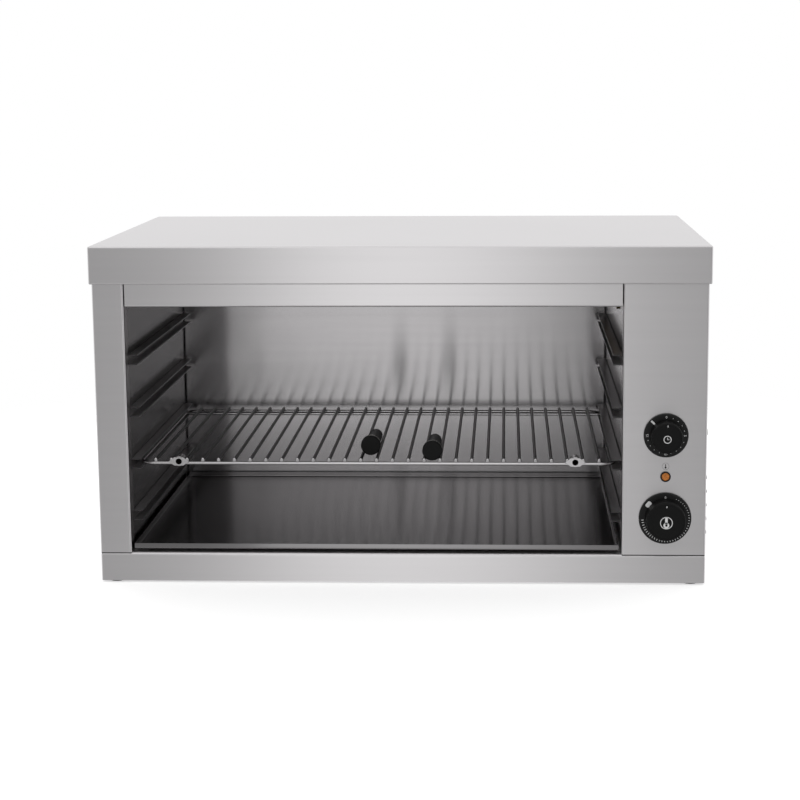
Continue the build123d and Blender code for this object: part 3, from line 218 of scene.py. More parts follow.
@dataclass(frozen=True)
class BrushedSteel:
    """Stainless sheet sanded with a belt, so it mirrors sharply along the grain and blurs across it.

    A real belt's scratches are finer than grain_mm. They are drawn coarser so that they show at all.
    """

    name: str
    tint: str
    roughness: float
    anisotropic: float
    grain_mm: float = 0.5
    streak_mm: float = 60.0
    tone: float = 0.05
    bump_mm: float = 0.002
    wave_mm: float = 0.0
    # Brightness left on faces that look forward: below one it is painted shade on the front ends.
    painted_end_shade: float = 1.0

    def make(self) -> Material:
        """Build the material: its grain runs along X on faces that look forward, back or up.

        Returns:
            The new material.
        """
        material, tree, out = new_material(self.name)
        across = 1 / (self.grain_mm * MM)
        along = 1 / (self.streak_mm * MM)
        fine = streaks(tree, (along, along, across), 3.0)
        broad = streaks(tree, (along / BROAD_ALONG, along / BROAD_ALONG, across / BROAD_ACROSS), 1.0)
        light = ranged(tree, broad, 1 - self.tone, 1 + self.tone)
        normal = put(tree, "ShaderNodeNewGeometry").outputs["Normal"]
        parts = put(tree, "ShaderNodeSeparateXYZ", {0: normal})
        # Painted shade: faces that look straight forward are darkened by the end factor.
        inputs = {"Value": parts.outputs[1], 1: SHADED_END_FROM, 2: SHADED_END_TO, 3: self.painted_end_shade, 4: 1.0}
        end = put(tree, "ShaderNodeMapRange", inputs).outputs[0]
        light = put(tree, "ShaderNodeMath", {0: light, 1: end}, operation="MULTIPLY").outputs[0]
        wave = raised(tree, streaks(tree, (WAVES_PER_METRE,) * 3, 1.0), self.wave_mm, FULL_BUMP)
        # The tangent lies across the grain: upright on the walls, and along Y on the level faces.
        level = put(tree, "ShaderNodeMath", {0: parts.outputs[2]}, operation="ABSOLUTE").outputs[0]
        turn = put(tree, "ShaderNodeMath", {0: 1.0, 1: level}, operation="SUBTRACT").outputs[0]
        grain = put(tree, "ShaderNodeCombineXYZ", {0: 1.0, 1: turn}).outputs[0]
        across_grain = put(tree, "ShaderNodeVectorMath", {0: normal, 1: grain}, operation="CROSS_PRODUCT")
        surface(tree, out, {
            "Base Color": toned(tree, self.tint, light),
            "Metallic": 1.0,
            "Roughness": self.roughness,
            "Anisotropic": self.anisotropic,
            "Tangent": across_grain.outputs[0],
            "Normal": raised(tree, fine, self.bump_mm, BRUSHED_BUMP, Normal=wave),
        })
        return material


@dataclass(frozen=True)
class Metal:
    """Turned, drawn or plated metal with an even finish and a little unevenness in its gloss.

    The unevenness is drawn coarser than it is on real plating, so that it shows.
    """

    name: str
    tint: str
    roughness: float
    grain_mm: float = 1.5
    tone: float = 0.06
    bump_mm: float = 0.01

    def make(self) -> Material:
        """Return the new material."""
        return even_material(self, 3.0, 0.15, {"Metallic": 1.0})


@dataclass(frozen=True)
class Moulding:
    """Moulded plastic, rubber, ceramic or print: a non-metal with a soft gloss, its grain drawn coarse."""

    name: str
    tint: str
    roughness: float
    grain_mm: float = 0.4
    tone: float = 0.10
    bump_mm: float = 0.01
    gloss: float = 0.5

    def make(self) -> Material:
        """Return the new material."""
        return even_material(self, 2.0, 0.10, {"Specular IOR Level": self.gloss})


def even_material(kind: Metal | Moulding, detail: float, spread: float, more: dict) -> Material:
    """Build a material whose grain is the same in every direction.

    Args:
        kind: The finish.
        detail: Octaves of finer noise in its grain.
        spread: How far its roughness strays either way, as a share.
        more: The inputs that make it a metal or not.

    Returns:
        The new material.
    """
    material, tree, out = new_material(kind.name)
    grain = streaks(tree, (1 / (kind.grain_mm * MM),) * 3, detail)
    surface(tree, out, {
        "Base Color": toned(tree, kind.tint, ranged(tree, grain, 1 - kind.tone, 1 + kind.tone)),
        "Roughness": ranged(tree, grain, kind.roughness * (1 - spread), kind.roughness * (1 + spread)),
        "Normal": raised(tree, grain, kind.bump_mm, FINE_BUMP),
        **more,
    })
    return material


@dataclass(frozen=True)
class MineralWool:
    """Pressed mineral wool slab: matt yellow-grey fibres, drawn many times thicker than real ones."""

    name: str = "mineral_wool_slab"
    tint: str = "#b3a574"
    roughness: float = 0.95
    fibre_mm: float = 1.2
    fibre_lie: float = 0.3
    pile_mm: float = 0.6
    shade: float = 0.7
    shine: float = 1.2

    def make(self) -> Material:
        """Build the material.

        Returns:
            The new material.
        """
        material, tree, out = new_material(self.name)
        cycles = 1 / (self.fibre_mm * MM)
        fibres = streaks(tree, (cycles, cycles * self.fibre_lie, cycles), 6.0)
        surface(tree, out, {
            "Base Color": toned(tree, self.tint, ranged(tree, fibres, self.shade, self.shine)),
            "Roughness": self.roughness,
            "Normal": raised(tree, fibres, self.pile_mm, FULL_BUMP),
        })
        return material


Finish = BrushedSteel | Metal | Moulding | MineralWool

# The finish of each material slot of the record.
SLOT_FINISH: dict[str, Finish] = {
    # The outer sheets have a satin belt grain, so lamps draw out to tall soft bands on them.
    "casing_steel": BrushedSteel("satin_stainless_casing", "#d4d2d3", 0.28, 0.90, tone=0.01, bump_mm=0.001),
    # The cavity is bright rolled sheet, a little wavy: it draws the grid bars out into tall streaks.
    "cavity_steel": BrushedSteel(
        "bright_stainless_cavity", "#a9a7a8", 0.17, 1.0, tone=0.015, bump_mm=0.008, wave_mm=0.20
    ),
    # The runners are mill sheet, bent after shearing; their cut front ends are darkened with painted shade.
    "runner_steel": BrushedSteel("mill_stainless_runner", "#bdbbbc", 0.34, 0.60, tone=0.03, painted_end_shade=0.12),
    # The outer wire of the grid is still bright.
    "grid_chrome": Metal("chromed_wire", "#c4c2c3", 0.16),
    # The grips and knobs are nearly matt, so that only their rims catch the light.
    "black_phenolic": Moulding("black_phenolic", "#101010", 0.45, gloss=0.15),
    # The dial rings are a touch glossier, which parts them from the knobs.
    "black_dial": Moulding("black_printed_dial", "#121212", 0.38, gloss=0.25),
    # Zinc is a shade yellower and softer than the steel round it, which sets the screws off.
    "zinc_steel": Metal("zinc_plated_steel", "#bcbcb6", 0.28),
    # The elements' sheath has oxidised to a dull grey-brown, and their brass ends still gleam.
    "element_sheath": Metal("heat_darkened_sheath", "#5c5650", 0.42),
    "brass": Metal("turned_brass", "#c8a560", 0.30),
    # Unglazed ceramic: off-white and matt.
    "ceramic": Moulding("steatite_ceramic", "#dcd8cc", 0.55),
    # The pilot lamp's lens is the one spot of colour, glossy and cloudy inside.
    "amber_lens": Moulding("amber_acrylic_lens", "#c07228", 0.18, tone=0.30, grain_mm=1.6),
    # Rubber and nylon are the dull darks of the feet and the back.
    "black_rubber": Moulding("black_rubber", "#1a1a1a", 0.75),
    "grey_plastic": Moulding("grey_nylon", "#2a2a2b", 0.50),
    "mineral_wool": MineralWool(),
    # Woven sleeving: cream and matt, its weave drawn coarser than real.
    "wire_sleeving": Moulding("glass_fibre_sleeving", "#cdc6b0", 0.80, grain_mm=0.7, tone=0.15),
}

# Nodes that look unlike the rest of their slot.
NODE_FINISH: dict[str, Finish] = {
    # The tray is the cavity's sheet, darker with use and a little wavier.
    "crumb_tray": BrushedSteel(
        "bright_stainless_tray", "#878586", 0.15, 1.0, tone=0.015, bump_mm=0.008, wave_mm=0.25
    ),
    # The roof over the elements has gone brown-grey from the heat.
    "ceiling_reflector": BrushedSteel("heat_tinted_stainless", "#5d5855", 0.32, 0.60, tone=0.10),
    # The bars have dulled under the elements.
    "grid_bars": Metal("dulled_chromed_wire", "#545253", 0.34),
}

# Thread cut into the handle eyes, painted near black as the shade deep inside the eyes.
SHADED_THREAD = Metal("thread_in_painted_shade", "#24211f", 0.65)
# Pad print: a matt ink film whose edges and cover are slightly uneven.
WHITE_PRINT = Moulding("white_dial_print", "#e4e4e4", 0.60, tone=0.08, gloss=0.2)
GREY_PRINT = Moulding("grey_panel_print", "#7d7c7c", 0.60, gloss=0.2)
DARK_PRINT = Moulding("dark_panel_print", "#2b2a2a", 0.60, gloss=0.2)


class Workshop:
    """Makes each finish once, and dresses the CAD nodes and the new pieces."""

    def __init__(self) -> None:
        """Start with no finish made."""
        self.made: dict[str, Material] = {}

    def finish(self, kind: Finish) -> Material:
        """Look up the material of a finish, made on its first use.

        Args:
            kind: The finish.

        Returns:
            Its material.
        """
        if kind.name not in self.made:
            self.made[kind.name] = kind.make()
        return self.made[kind.name]

    def dress(self, piece: Object, kind: Finish) -> None:
        """Give a piece one finish all over."""
        piece.data.materials.clear()
        piece.data.materials.append(self.finish(kind))

    def dress_nodes(self) -> None:
        """Give each CAD node its own finish, or else that of its material slot."""
        for row in frame["record"]["subparts"]:
            name = row["node"]
            self.dress(frame["nodes"][name], NODE_FINISH.get(name, SLOT_FINISH[row["material_slot"]]))
        LOG.info("dressed %d nodes", len(frame["nodes"]))

    def settle(
        self, piece: Object, name: str, body: str, slot: str,
        place: Matrix | None = None, kind: Finish | None = None,
    ) -> Object:
        """Name a finished piece, put its place into its mesh, let it ride and dress it.

        Args:
            piece: The finished piece.
            name: Its name.
            body: CAD body that it moves with.
            slot: Material slot of the record that it belongs to.
            place: Where its own origin goes, if it was modelled at the world's.
            kind: Its finish, if it isn't the slot's.

        Returns:
            The same piece.
        """
        if place is not None:
            piece.data.transform(place)
        apply_place(piece)
        piece.name = name
        piece.data.name = name
        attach(piece, body)
        self.dress(piece, kind or SLOT_FINISH[slot])
        LOG.info("%s: %d faces on %s", name, len(piece.data.polygons), body)
        return piece


# ---- Modelling helpers ----


def only(piece: Object) -> None:
    """Select one object alone and make it active.

    Args:
        piece: The object.
    """
    bpy.ops.object.select_all(action="DESELECT")
    piece.select_set(True)
    bpy.context.view_layer.objects.active = piece


def apply_place(piece: Object) -> None:
    """Put an object's place, turn and size into its mesh."""
    only(piece)
    bpy.ops.object.transform_apply(location=True, rotation=True, scale=True)


@contextmanager
def editing(select: str | None = "SELECT") -> Iterator[None]:
    """Open the active mesh for edits and close it afterwards.

    Args:
        select: What happens to the selection first, as select_all names it, or None to keep it.
    """
    bpy.ops.object.mode_set(mode="EDIT")
    if select is not None:
        bpy.ops.mesh.select_all(action=select)
    yield
    bpy.ops.object.mode_set(mode="OBJECT")


@contextmanager
def editing_edges(piece: Object, chosen: Callable[[Vector, Vector], bool]) -> Iterator[None]:
    """Open a mesh for edits of some of its edges.

    Args:
        piece: The mesh object.
        chosen: Says from an edge's two ends whether the edge is selected.
    """
    points = piece.data.vertices
    for edge in piece.data.edges:
        edge.select = chosen(*(points[index].co for index in edge.vertices))
    for kind in (points, piece.data.polygons):
        for item in kind:
            item.select = False
    only(piece)
    bpy.context.tool_settings.mesh_select_mode = (False, True, False)
    with editing(None):
        yield
    bpy.context.tool_settings.mesh_select_mode = (True, False, False)


def thicken(piece: Object, thickness: float) -> Object:
    """Turn a flat outline into a closed plate that rises along +Z.

    Args:
        piece: Flat mesh in its own XY plane.
        thickness: Height of the plate in metres.

    Returns:
        The same piece.
    """
    only(piece)
    with editing():
        bpy.ops.mesh.extrude_region_move(TRANSFORM_OT_translate={"value": (0, 0, thickness)})
        bpy.ops.mesh.select_all(action="SELECT")
        bpy.ops.mesh.normals_make_consistent(inside=False)
    return piece


def circle(radius_mm: float, sides: int, y_mm: float = 0.0) -> Object:
    """Start a flat, filled circle.

    Args:
        radius_mm: Its radius.
        sides: Number of its sides.
        y_mm: Y of its middle.

    Returns:
        The flat circle.
    """
    bpy.ops.mesh.primitive_circle_add(
        vertices=sides, radius=radius_mm * MM, fill_type="NGON", location=(0, y_mm * MM, 0)
    )
    piece = bpy.context.active_object
    apply_place(piece)
    return piece


def hollow(piece: Object, width_mm: float) -> None:
    """Take the middle out of a flat piece.

    Args:
        piece: The flat piece.
        width_mm: Width of the rim that is left.
    """
    only(piece)
    with editing():
        bpy.ops.mesh.inset(thickness=width_mm * MM)
        bpy.ops.mesh.delete(type="FACE")


def round_edges(piece: Object, width_mm: float, from_degrees: float = 30.0) -> None:
    """Round a piece's sharp edges in two steps.

    Args:
        piece: The mesh object.
        width_mm: Width of the rounding.
        from_degrees: Smallest angle between two faces whose edge is rounded.
    """
    rounding = piece.modifiers.new("rounding", "BEVEL")
    rounding.width = width_mm * MM
    rounding.segments = 2
    rounding.angle_limit = math.radians(from_degrees)
    only(piece)
    bpy.ops.object.modifier_apply(modifier=rounding.name)


def flat_bar(width_mm: float, height_mm: float, x_mm: float = 0.0, y_mm: float = 0.0) -> Object:
    """Model a printed bar with rounded corners.

    Args:
        width_mm: Size along X.
        height_mm: Size along Y.
        x_mm: X of its middle.
        y_mm: Y of its middle.

    Returns:
        The closed bar.
    """
    bpy.ops.mesh.primitive_plane_add(size=MM)
    bar = bpy.context.active_object
    bar.scale = (width_mm, height_mm, 1)
    bar.location = (x_mm * MM, y_mm * MM, 0)
    apply_place(bar)
    corner = min(width_mm, height_mm) * PRINT_CORNER_SHARE * MM
    with editing():
        bpy.ops.mesh.bevel(offset=corner, offset_pct=0, segments=2, affect="VERTICES")
    return thicken(bar, PRINT_HEIGHT_MM * MM)


def flat_ring(radius_mm: float, width_mm: float, y_mm: float = 0.0) -> Object:
    """Model a printed ring: a disc that is inset, with the middle taken out.

    Args:
        radius_mm: Outer radius.
        width_mm: Width of the line.
        y_mm: Y of its middle.

    Returns:
        The closed ring.
    """
    ring = circle(radius_mm, 40, y_mm)
    hollow(ring, width_mm)
    return thicken(ring, PRINT_HEIGHT_MM * MM)


def flat_disc(radius_mm: float, y_mm: float = 0.0) -> Object:
    """Model a printed dot."""
    return thicken(circle(radius_mm, 16, y_mm), PRINT_HEIGHT_MM * MM)


def number(digits: str, height_mm: float) -> Object:
    """Model a printed number, centred at the middle of its own plane.

    Args:
        digits: The number.
        height_mm: Height of a digit.

    Returns:
        The closed number.
    """
    bpy.ops.object.text_add()
    text = bpy.context.active_object
    text.data.body = digits
    text.data.size = height_mm * MM / DIGIT_SHARE
    text.data.resolution_u = 2
    text.data.align_x = "CENTER"
    text.data.align_y = "CENTER"
    text.data.extrude = PRINT_HEIGHT_MM * MM / 2
    only(text)
    bpy.ops.object.convert(target="MESH")
    with editing():
        bpy.ops.mesh.remove_doubles(threshold=MERGE_DISTANCE)
        bpy.ops.mesh.normals_make_consistent(inside=False)
    text.location.z = PRINT_HEIGHT_MM * MM / 2
    apply_place(text)
    return text


def join(pieces: list[Object]) -> Object:
    """Join mesh objects into the first one.

    Args:
        pieces: One or more mesh objects.

    Returns:
        The first one, which now holds them all.
    """
    if len(pieces) > 1:
        bpy.context.view_layer.update()
        bpy.ops.object.select_all(action="DESELECT")
        for piece in pieces:
            piece.select_set(True)
        bpy.context.view_layer.objects.active = pieces[0]
        bpy.ops.object.join()
    return pieces[0]


def repeat(pattern: Object, places: list[Matrix]) -> Object:
    """Copy a piece to several places, each with its own mesh, and join the copies.

    Args:
        pattern: The piece that is copied. It is used up.
        places: Where each copy goes.

    Returns:
        The joined copies.
    """
    copies = []
    for place in places:
        copy = pattern.copy()
        copy.data = pattern.data.copy()
        copy.data.transform(place)
        bpy.context.scene.collection.objects.link(copy)
        copies.append(copy)
    bpy.data.objects.remove(pattern)
    return join(copies)


def around(angle: float, radius_mm: float) -> Matrix:
    """Place on a dial, clockwise from the top, with a mark's own Y pointing outwards."""
    return Matrix.Rotation(-math.radians(angle), 4, "Z") @ Matrix.Translation((0, radius_mm * MM, 0))


def set_out(mark: Object, angle: float, radius_mm: float) -> Object:
    """Move a mark from a dial's middle to its place on the ring, with its head outwards."""
    mark.data.transform(around(angle, radius_mm))
    return mark


def spaced(low: float, high: float, index: int, count: int) -> float:
    """Spread places evenly from low to high, or take the middle of one alone."""
    return (low + high) / 2 if count == 1 else low + (high - low) * index / (count - 1)


def groove_rings(piece: Object, length_mm: float, pitch_mm: float, crest: float) -> None:
    """Cut rings across a cylinder and draw every second one in, like a rolled thread.

    Args:
        piece: Cylinder along its own Z, centred at its origin.
        length_mm: Its length.
        pitch_mm: Distance between two crests.
        crest: Radius of the grooves as a share of the full one.
    """
    half = length_mm * MM / 2
    cuts = 2 * round(length_mm / pitch_mm) - 1
    with editing_edges(piece, lambda one, other: abs(one.z - other.z) > half):
        bpy.ops.mesh.subdivide(number_cuts=cuts)
        bpy.ops.mesh.select_all(action="DESELECT")
    step = 2 * half / (cuts + 1)
    for vertex in piece.data.vertices:
        vertex.select = round((vertex.co.z + half) / step) % 2 == 1
    with editing(None):
        bpy.ops.transform.resize(value=(crest, crest, 1.0))


# ---- Printed dials ----


@dataclass
class Dial:
    """A control's printed marks. Sizes in millimetres, angles clockwise from the top."""

    name: str
    knob_dish: float = 0.40
    number_height: float = 2.5
    sign_line: float = 0.75
    sign_drop: float = 1.0

    def face(self, node: str, sink_mm: float) -> Matrix:
        """Place on the front of a node, sunk a little so that a print has no gap behind it.

        Args:
            node: The CAD node that is printed on.
            sink_mm: How far its printed face lies behind its box.

        Returns:
            The place, with +Z out of the face.
        """
        low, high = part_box(node)
        centre = (low + high) / 2
        at = Vector((centre.x, low.y + (sink_mm + PRINT_SINK_MM) * MM, centre.z))
        return Matrix.Translation(at) @ Facing.FRONT.value

    def sign_bar(self, bar: Bar) -> Object:
        """Model a bar of the knob's sign, which sits a little under the knob's middle."""
        width, height, x, y = bar
        return flat_bar(width, height, x, y - self.sign_drop)

    def ring_marks(self) -> list[Object]:
        """Model the marks of the scale ring."""
        raise NotImplementedError

    def knob_marks(self) -> list[Object]:
        """Model the marks of the knob's face."""
        raise NotImplementedError

    def build(self, workshop: Workshop) -> None:
        """Model, place and dress both prints.

        Args:
            workshop: Dresses the pieces.
        """
        workshop.settle(
            join(self.ring_marks()), f"{self.name}_scale_print", "cabinet", "black_dial",
            self.face(f"{self.name}_dial_ring", 0.0), WHITE_PRINT,
        )
        workshop.settle(
            join(self.knob_marks()), f"{self.name}_knob_print", self.name, "black_phenolic",
            self.face(f"{self.name}_knob", self.knob_dish), WHITE_PRINT,
        )


@dataclass
class TimerDial(Dial):
    """Fifteen-minute timer: numbers at the quarters, dots between, a bar to the left of zero."""

    name: str = "timer"
    scale_radius: float = 18.4
    dot_radius: float = 0.36
    dot_step: float = 18.0
    dot_starts: tuple[float, ...] = (3.0, 93.0, 183.0)
    hold_bar: tuple[float, float] = (1.9, 5.0)
    hold_angle: float = -45.0
    hold_out: float = 0.2
    clock_radius: float = 3.9
    minute_hand: Bar = (0.6, 2.3, 0.0, 0.9)
    hour_hand: Bar = (2.0, 0.6, 0.8, 0.0)
    index: Bar = (0.7, 1.9, 0.3, 12.2)

    def ring_marks(self) -> list[Object]:
        """Model the numbers 0, 5, 10 and 15, the minute dots and the hold bar.

        Returns:
            The marks in their places on the ring.
        """
        marks = [
            set_out(number(digits, self.number_height), quarter * 90, self.scale_radius)
            for quarter, digits in enumerate(("0", "5", "10", "15"))
        ]
        places = [
            around(start + step * self.dot_step, self.scale_radius)
            for start in self.dot_starts
            for step in range(1, 5)
        ]
        marks.append(repeat(flat_disc(self.dot_radius), places))
        marks.append(set_out(flat_bar(*self.hold_bar), self.hold_angle, self.scale_radius + self.hold_out))
        return marks

    def knob_marks(self) -> list[Object]:
        """Model the clock sign and the index near the knob's edge.

        Returns:
            The marks round the knob's middle.
        """
        return [
            flat_ring(self.clock_radius, self.sign_line, -self.sign_drop),
            self.sign_bar(self.minute_hand),
            self.sign_bar(self.hour_hand),
            flat_bar(*self.index),
        ]


@dataclass
class ThermostatDial(Dial):
    """Thermostat: a zero, ticks that grow clockwise, and a block to the left of zero."""

    name: str = "thermostat"
    sign_drop: float = 0.9
    scale_radius: float = 21.3
    tick_from: float = 29.0
    tick_to: float = 266.0
    tick_count: int = 37
    tick_width: tuple[float, float] = (0.55, 0.1)
    tick_length: tuple[float, float] = (0.55, 1.9)
    tick_radius: tuple[float, float] = (22.4, 1.5)
    tick_bow: float = 1.25
    off_block: tuple[float, float] = (6.4, 4.2)
    off_angle: float = -49.0
    off_radius: float = 22.0
    circle_radius: float = 6.2
    stem: Bar = (2.6, 7.4, 0.0, 2.2)
    bulb: tuple[float, float, float] = (2.9, 1.7, 2.4)
    index: Bar = (0.7, 2.0, 0.3, 15.2)

    def ring_marks(self) -> list[Object]:
        """Model the zero, the growing ticks and the off block.

        Returns:
            The marks in their places on the ring.
        """
        marks = [set_out(number("0", self.number_height), 0.0, self.scale_radius)]
        for index in range(self.tick_count):
            share = index / (self.tick_count - 1)
            # Each measure is its value at the first tick and its growth from there.
            width, length = (first + more * share for first, more in (self.tick_width, self.tick_length))
            inner, bow = self.tick_radius
            radius = inner + bow * math.sin(math.pi * min(1.0, self.tick_bow * share))
            angle = self.tick_from + share * (self.tick_to - self.tick_from)
            marks.append(set_out(flat_bar(width, length), angle, radius))
        marks.append(set_out(flat_bar(*self.off_block), self.off_angle, self.off_radius))
        return marks

    def knob_marks(self) -> list[Object]:
        """Model the thermometer sign and the index near the knob's edge.

        Returns:
            The marks round the knob's middle.
        """
        radius, line, below = self.bulb
        return [
            flat_ring(self.circle_radius, self.sign_line, -self.sign_drop),
            self.sign_bar(self.stem),
            flat_ring(radius, line, -self.sign_drop - below),
            flat_bar(*self.index),
        ]


@dataclass
class PanelSign:
    """Thermometer in a thin circle, printed on the panel over the pilot lamp. Millimetres."""

    rise: float = 10.4
    circle_radius: float = 3.5
    line: float = 0.28
    stem: Bar = (0.8, 3.2, 0.0, 0.5)
    bulb_radius: float = 0.95
    bulb_drop: float = 1.3

    def build(self, workshop: Workshop) -> None:
        """Model, place and dress the sign: a grey circle and a dark thermometer.

        Args:
            workshop: Dresses the pieces.
        """
        low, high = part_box("pilot_bezel")
        _, panel_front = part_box("timer_dial_ring")
        at = Vector(((low.x + high.x) / 2, panel_front.y + PRINT_SINK_MM * MM, (low.z + high.z) / 2))
        place = Matrix.Translation(at + Vector((0, 0, self.rise * MM))) @ Facing.FRONT.value
        ring = flat_ring(self.circle_radius, self.line)
        workshop.settle(ring, "panel_sign_circle", "cabinet", "casing_steel", place, GREY_PRINT)
        sign = join([flat_bar(*self.stem), flat_disc(self.bulb_radius, -self.bulb_drop)])
        workshop.settle(sign, "panel_sign_thermometer", "cabinet", "casing_steel", place, DARK_PRINT)


# ---- Grid details ----


@dataclass
class GridWelds:
    """Weld beads where each bar crosses the front wire, the rod and the back wire. Millimetres."""

    bars: int = 29
    bead_size: tuple[float, float, float] = (2.0, 1.9, 2.5)
    bead_rise: float = 0.4
    foot_under: float = 0.4
    foot_scale: tuple[float, float, float] = (1.15, 1.0, 0.75)
    front_lead: float = 0.3
    rear_share: float = 0.62
    rear_drop: float = 1.3
    rod_before_back: float = 14.0

    def bead(self) -> Object:
        """Model one bead: a ball whose underside is pressed onto the wire.

        Returns:
            The bead, centred at its origin.
        """
        bpy.ops.mesh.primitive_uv_sphere_add(segments=12, ring_count=8, radius=MM)
        ball = bpy.context.active_object
        ball.scale = self.bead_size
        apply_place(ball)
        with editing("DESELECT"):
            pass
        for vertex in ball.data.vertices:
            vertex.select = vertex.co.z < -self.foot_under * MM
        with editing(None):
            bpy.ops.transform.resize(value=self.foot_scale)
            bpy.ops.mesh.select_all(action="SELECT")
            bpy.ops.mesh.normals_make_consistent(inside=False)
        bpy.ops.object.shade_smooth()
        return ball

    def build(self, workshop: Workshop) -> None:
        """Model the beads over all crossings and dress them as the wire.

        Args:
            workshop: Dresses the pieces.
        """
        low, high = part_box("grid_bars")
        wire_low, wire_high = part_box("grid_frame")
        bar_radius = (high.z - low.z) / 2
        wire_radius = (wire_high.z - wire_low.z) / 2
        first, last = low.x + bar_radius, high.x - bar_radius
        height = (low.z + high.z) / 2 + self.bead_rise * MM
        rear_height = height - self.rear_drop * MM
        front_y, back_y = wire_low.y + wire_radius, wire_high.y - wire_radius
        small = Matrix.Scale(self.rear_share, 4)
        lines = (
            (front_y - self.front_lead * MM, height, Matrix.Identity(4)),
            (back_y - self.rod_before_back * MM, rear_height, small),
            (back_y, rear_height, small),
        )
        places = [
            Matrix.Translation((spaced(first, last, bar, self.bars), y, z)) @ size
            for y, z, size in lines
            for bar in range(self.bars)
        ]
        workshop.settle(repeat(self.bead(), places), "grid_weld_beads", "grid", "grid_chrome")


@dataclass
class HandleEyes:
    """Tapped thread inside each handle eye: rings with a closed end. Millimetres."""

    outer_radius: float = 3.02
    depth: float = 11.9
    pitch: float = 1.0
    crest: float = 0.86
    wall: float = 0.06
    end_slack: float = 0.01

    def thread(self) -> Object:
        """Model the thread as a rolled row of ridges.

        Returns:
            The thread, open towards its own +Z.
        """
        radius = self.outer_radius * MM
        bpy.ops.mesh.primitive_cylinder_add(vertices=24, radius=radius, depth=self.depth * MM)
        sleeve = bpy.context.active_object
        groove_rings(sleeve, self.depth, self.pitch, self.crest)
        end = (self.depth / 2 - self.end_slack) * MM
        for face in sleeve.data.polygons:
            face.select = face.normal.z > 0.9 and face.center.z > end
        with editing(None):
            bpy.ops.mesh.delete(type="FACE")
        wall = sleeve.modifiers.new("wall", "SOLIDIFY")
        wall.thickness = self.wall * MM
        wall.offset = 1.0
        only(sleeve)
        bpy.ops.object.modifier_apply(modifier=wall.name)
        return sleeve

    def build(self, workshop: Workshop) -> None:
        """Place one thread in each eye.

        Args:
            workshop: Dresses the pieces.
        """
        for side in ("left", "right"):
            low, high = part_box(f"{side}_handle_lug")
            at = Vector(((low.x + high.x) / 2, low.y + self.depth * MM / 2, (low.z + high.z) / 2))
            place = Matrix.Translation(at) @ Facing.FRONT.value
            name = f"{side}_eye_thread"
            # The thread's near black is painted shade inside the eye.
            workshop.settle(self.thread(), name, "grid", "grid_chrome", place, SHADED_THREAD)


@dataclass
class HandleStuds:
    """Threaded studs and plated bands of the two loose handles. Millimetres."""

    radius: float = 3.0
    length: float = 31.0
    pitch: float = 1.0
    groove: float = 0.87
    band_ahead: float = 62.4
    band_radius: float = 10.08
    band_wall: float = 0.5
    band_width: float = 3.6
    band_rounding: float = 0.25

    def band(self) -> Object:
        """Model the plated band round the rear of a grip's head.

        Returns:
            The band, rising from its own XY plane.
        """
        ring = circle(self.band_radius, 48)
        hollow(ring, self.band_wall)
        thicken(ring, self.band_width * MM)
        round_edges(ring, self.band_rounding, from_degrees=60.0)
        bpy.ops.object.shade_smooth_by_angle(angle=SMOOTH_UNDER)
        return ring

    def build(self, workshop: Workshop) -> None:
        """Model each stud along its handle's own axis in place of the plain one, and the band.

        Args:
            workshop: Dresses the pieces.
        """
        axes = {joint["name"]: Vector(joint["axis"]) for joint in frame["joints"]}
        for side in ("left", "right"):
            bpy.ops.mesh.primitive_cylinder_add(
                vertices=24, radius=self.radius * MM, depth=self.length * MM
            )
            stud = bpy.context.active_object
            groove_rings(stud, self.length, self.pitch, self.groove)
            node = f"{side}_handle_stud"
            low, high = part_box(node)
            turn = (-axes[f"{side}_handle_lift_off"]).to_track_quat("Z", "Y").to_matrix().to_4x4()
            place = Matrix.Translation((low + high) / 2) @ turn
            body = f"{side}_handle"
            piece = workshop.settle(stud, f"{side}_threaded_stud", body, "zinc_steel", place)
            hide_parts(node)
            band = self.band()
            band.data.transform(Matrix.Translation((0, 0, -self.band_ahead * MM)))
            workshop.settle(band, f"{side}_grip_band", body, "zinc_steel", place)


@dataclass
class PanelSeamShade:
    """Dark strips of painted shade in the groove between the base's rounded edge and the sheets over it.
    Millimetres.
    """

    height: float = 1.1
    depth: float = 2.2
    setback: float = 0.3
    shortfall: float = 1.0
    rounding: float = 0.3

    def build(self, workshop: Workshop) -> None:
        """Lay one dark strip of painted shade under each front sheet, as a bar with rounded edges.

        Args:
            workshop: Dresses the pieces.
        """
        for node in ("left_side_casing", "control_panel"):
            low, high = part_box(node)
            bpy.ops.mesh.primitive_cube_add(size=MM)
            bar = bpy.context.active_object
            bar.scale = ((high.x - low.x) / MM - self.shortfall, self.depth, self.height)
            bar.location = (
                (low.x + high.x) / 2,
                low.y + (self.setback + self.depth / 2) * MM,
                low.z - self.height * MM / 2,
            )
            apply_place(bar)
            round_edges(bar, self.rounding)
            # The black strip is painted shade for the groove's shadow line.
            workshop.settle(bar, f"{node}_seam", "cabinet", "black_rubber")


# ---- Screws ----


@dataclass
class ScrewRow:
    """One CAD node of screws and how its screws stand, as columns along it and rows up it."""

    node: str
    facing: Facing
    columns: int
    rows: int


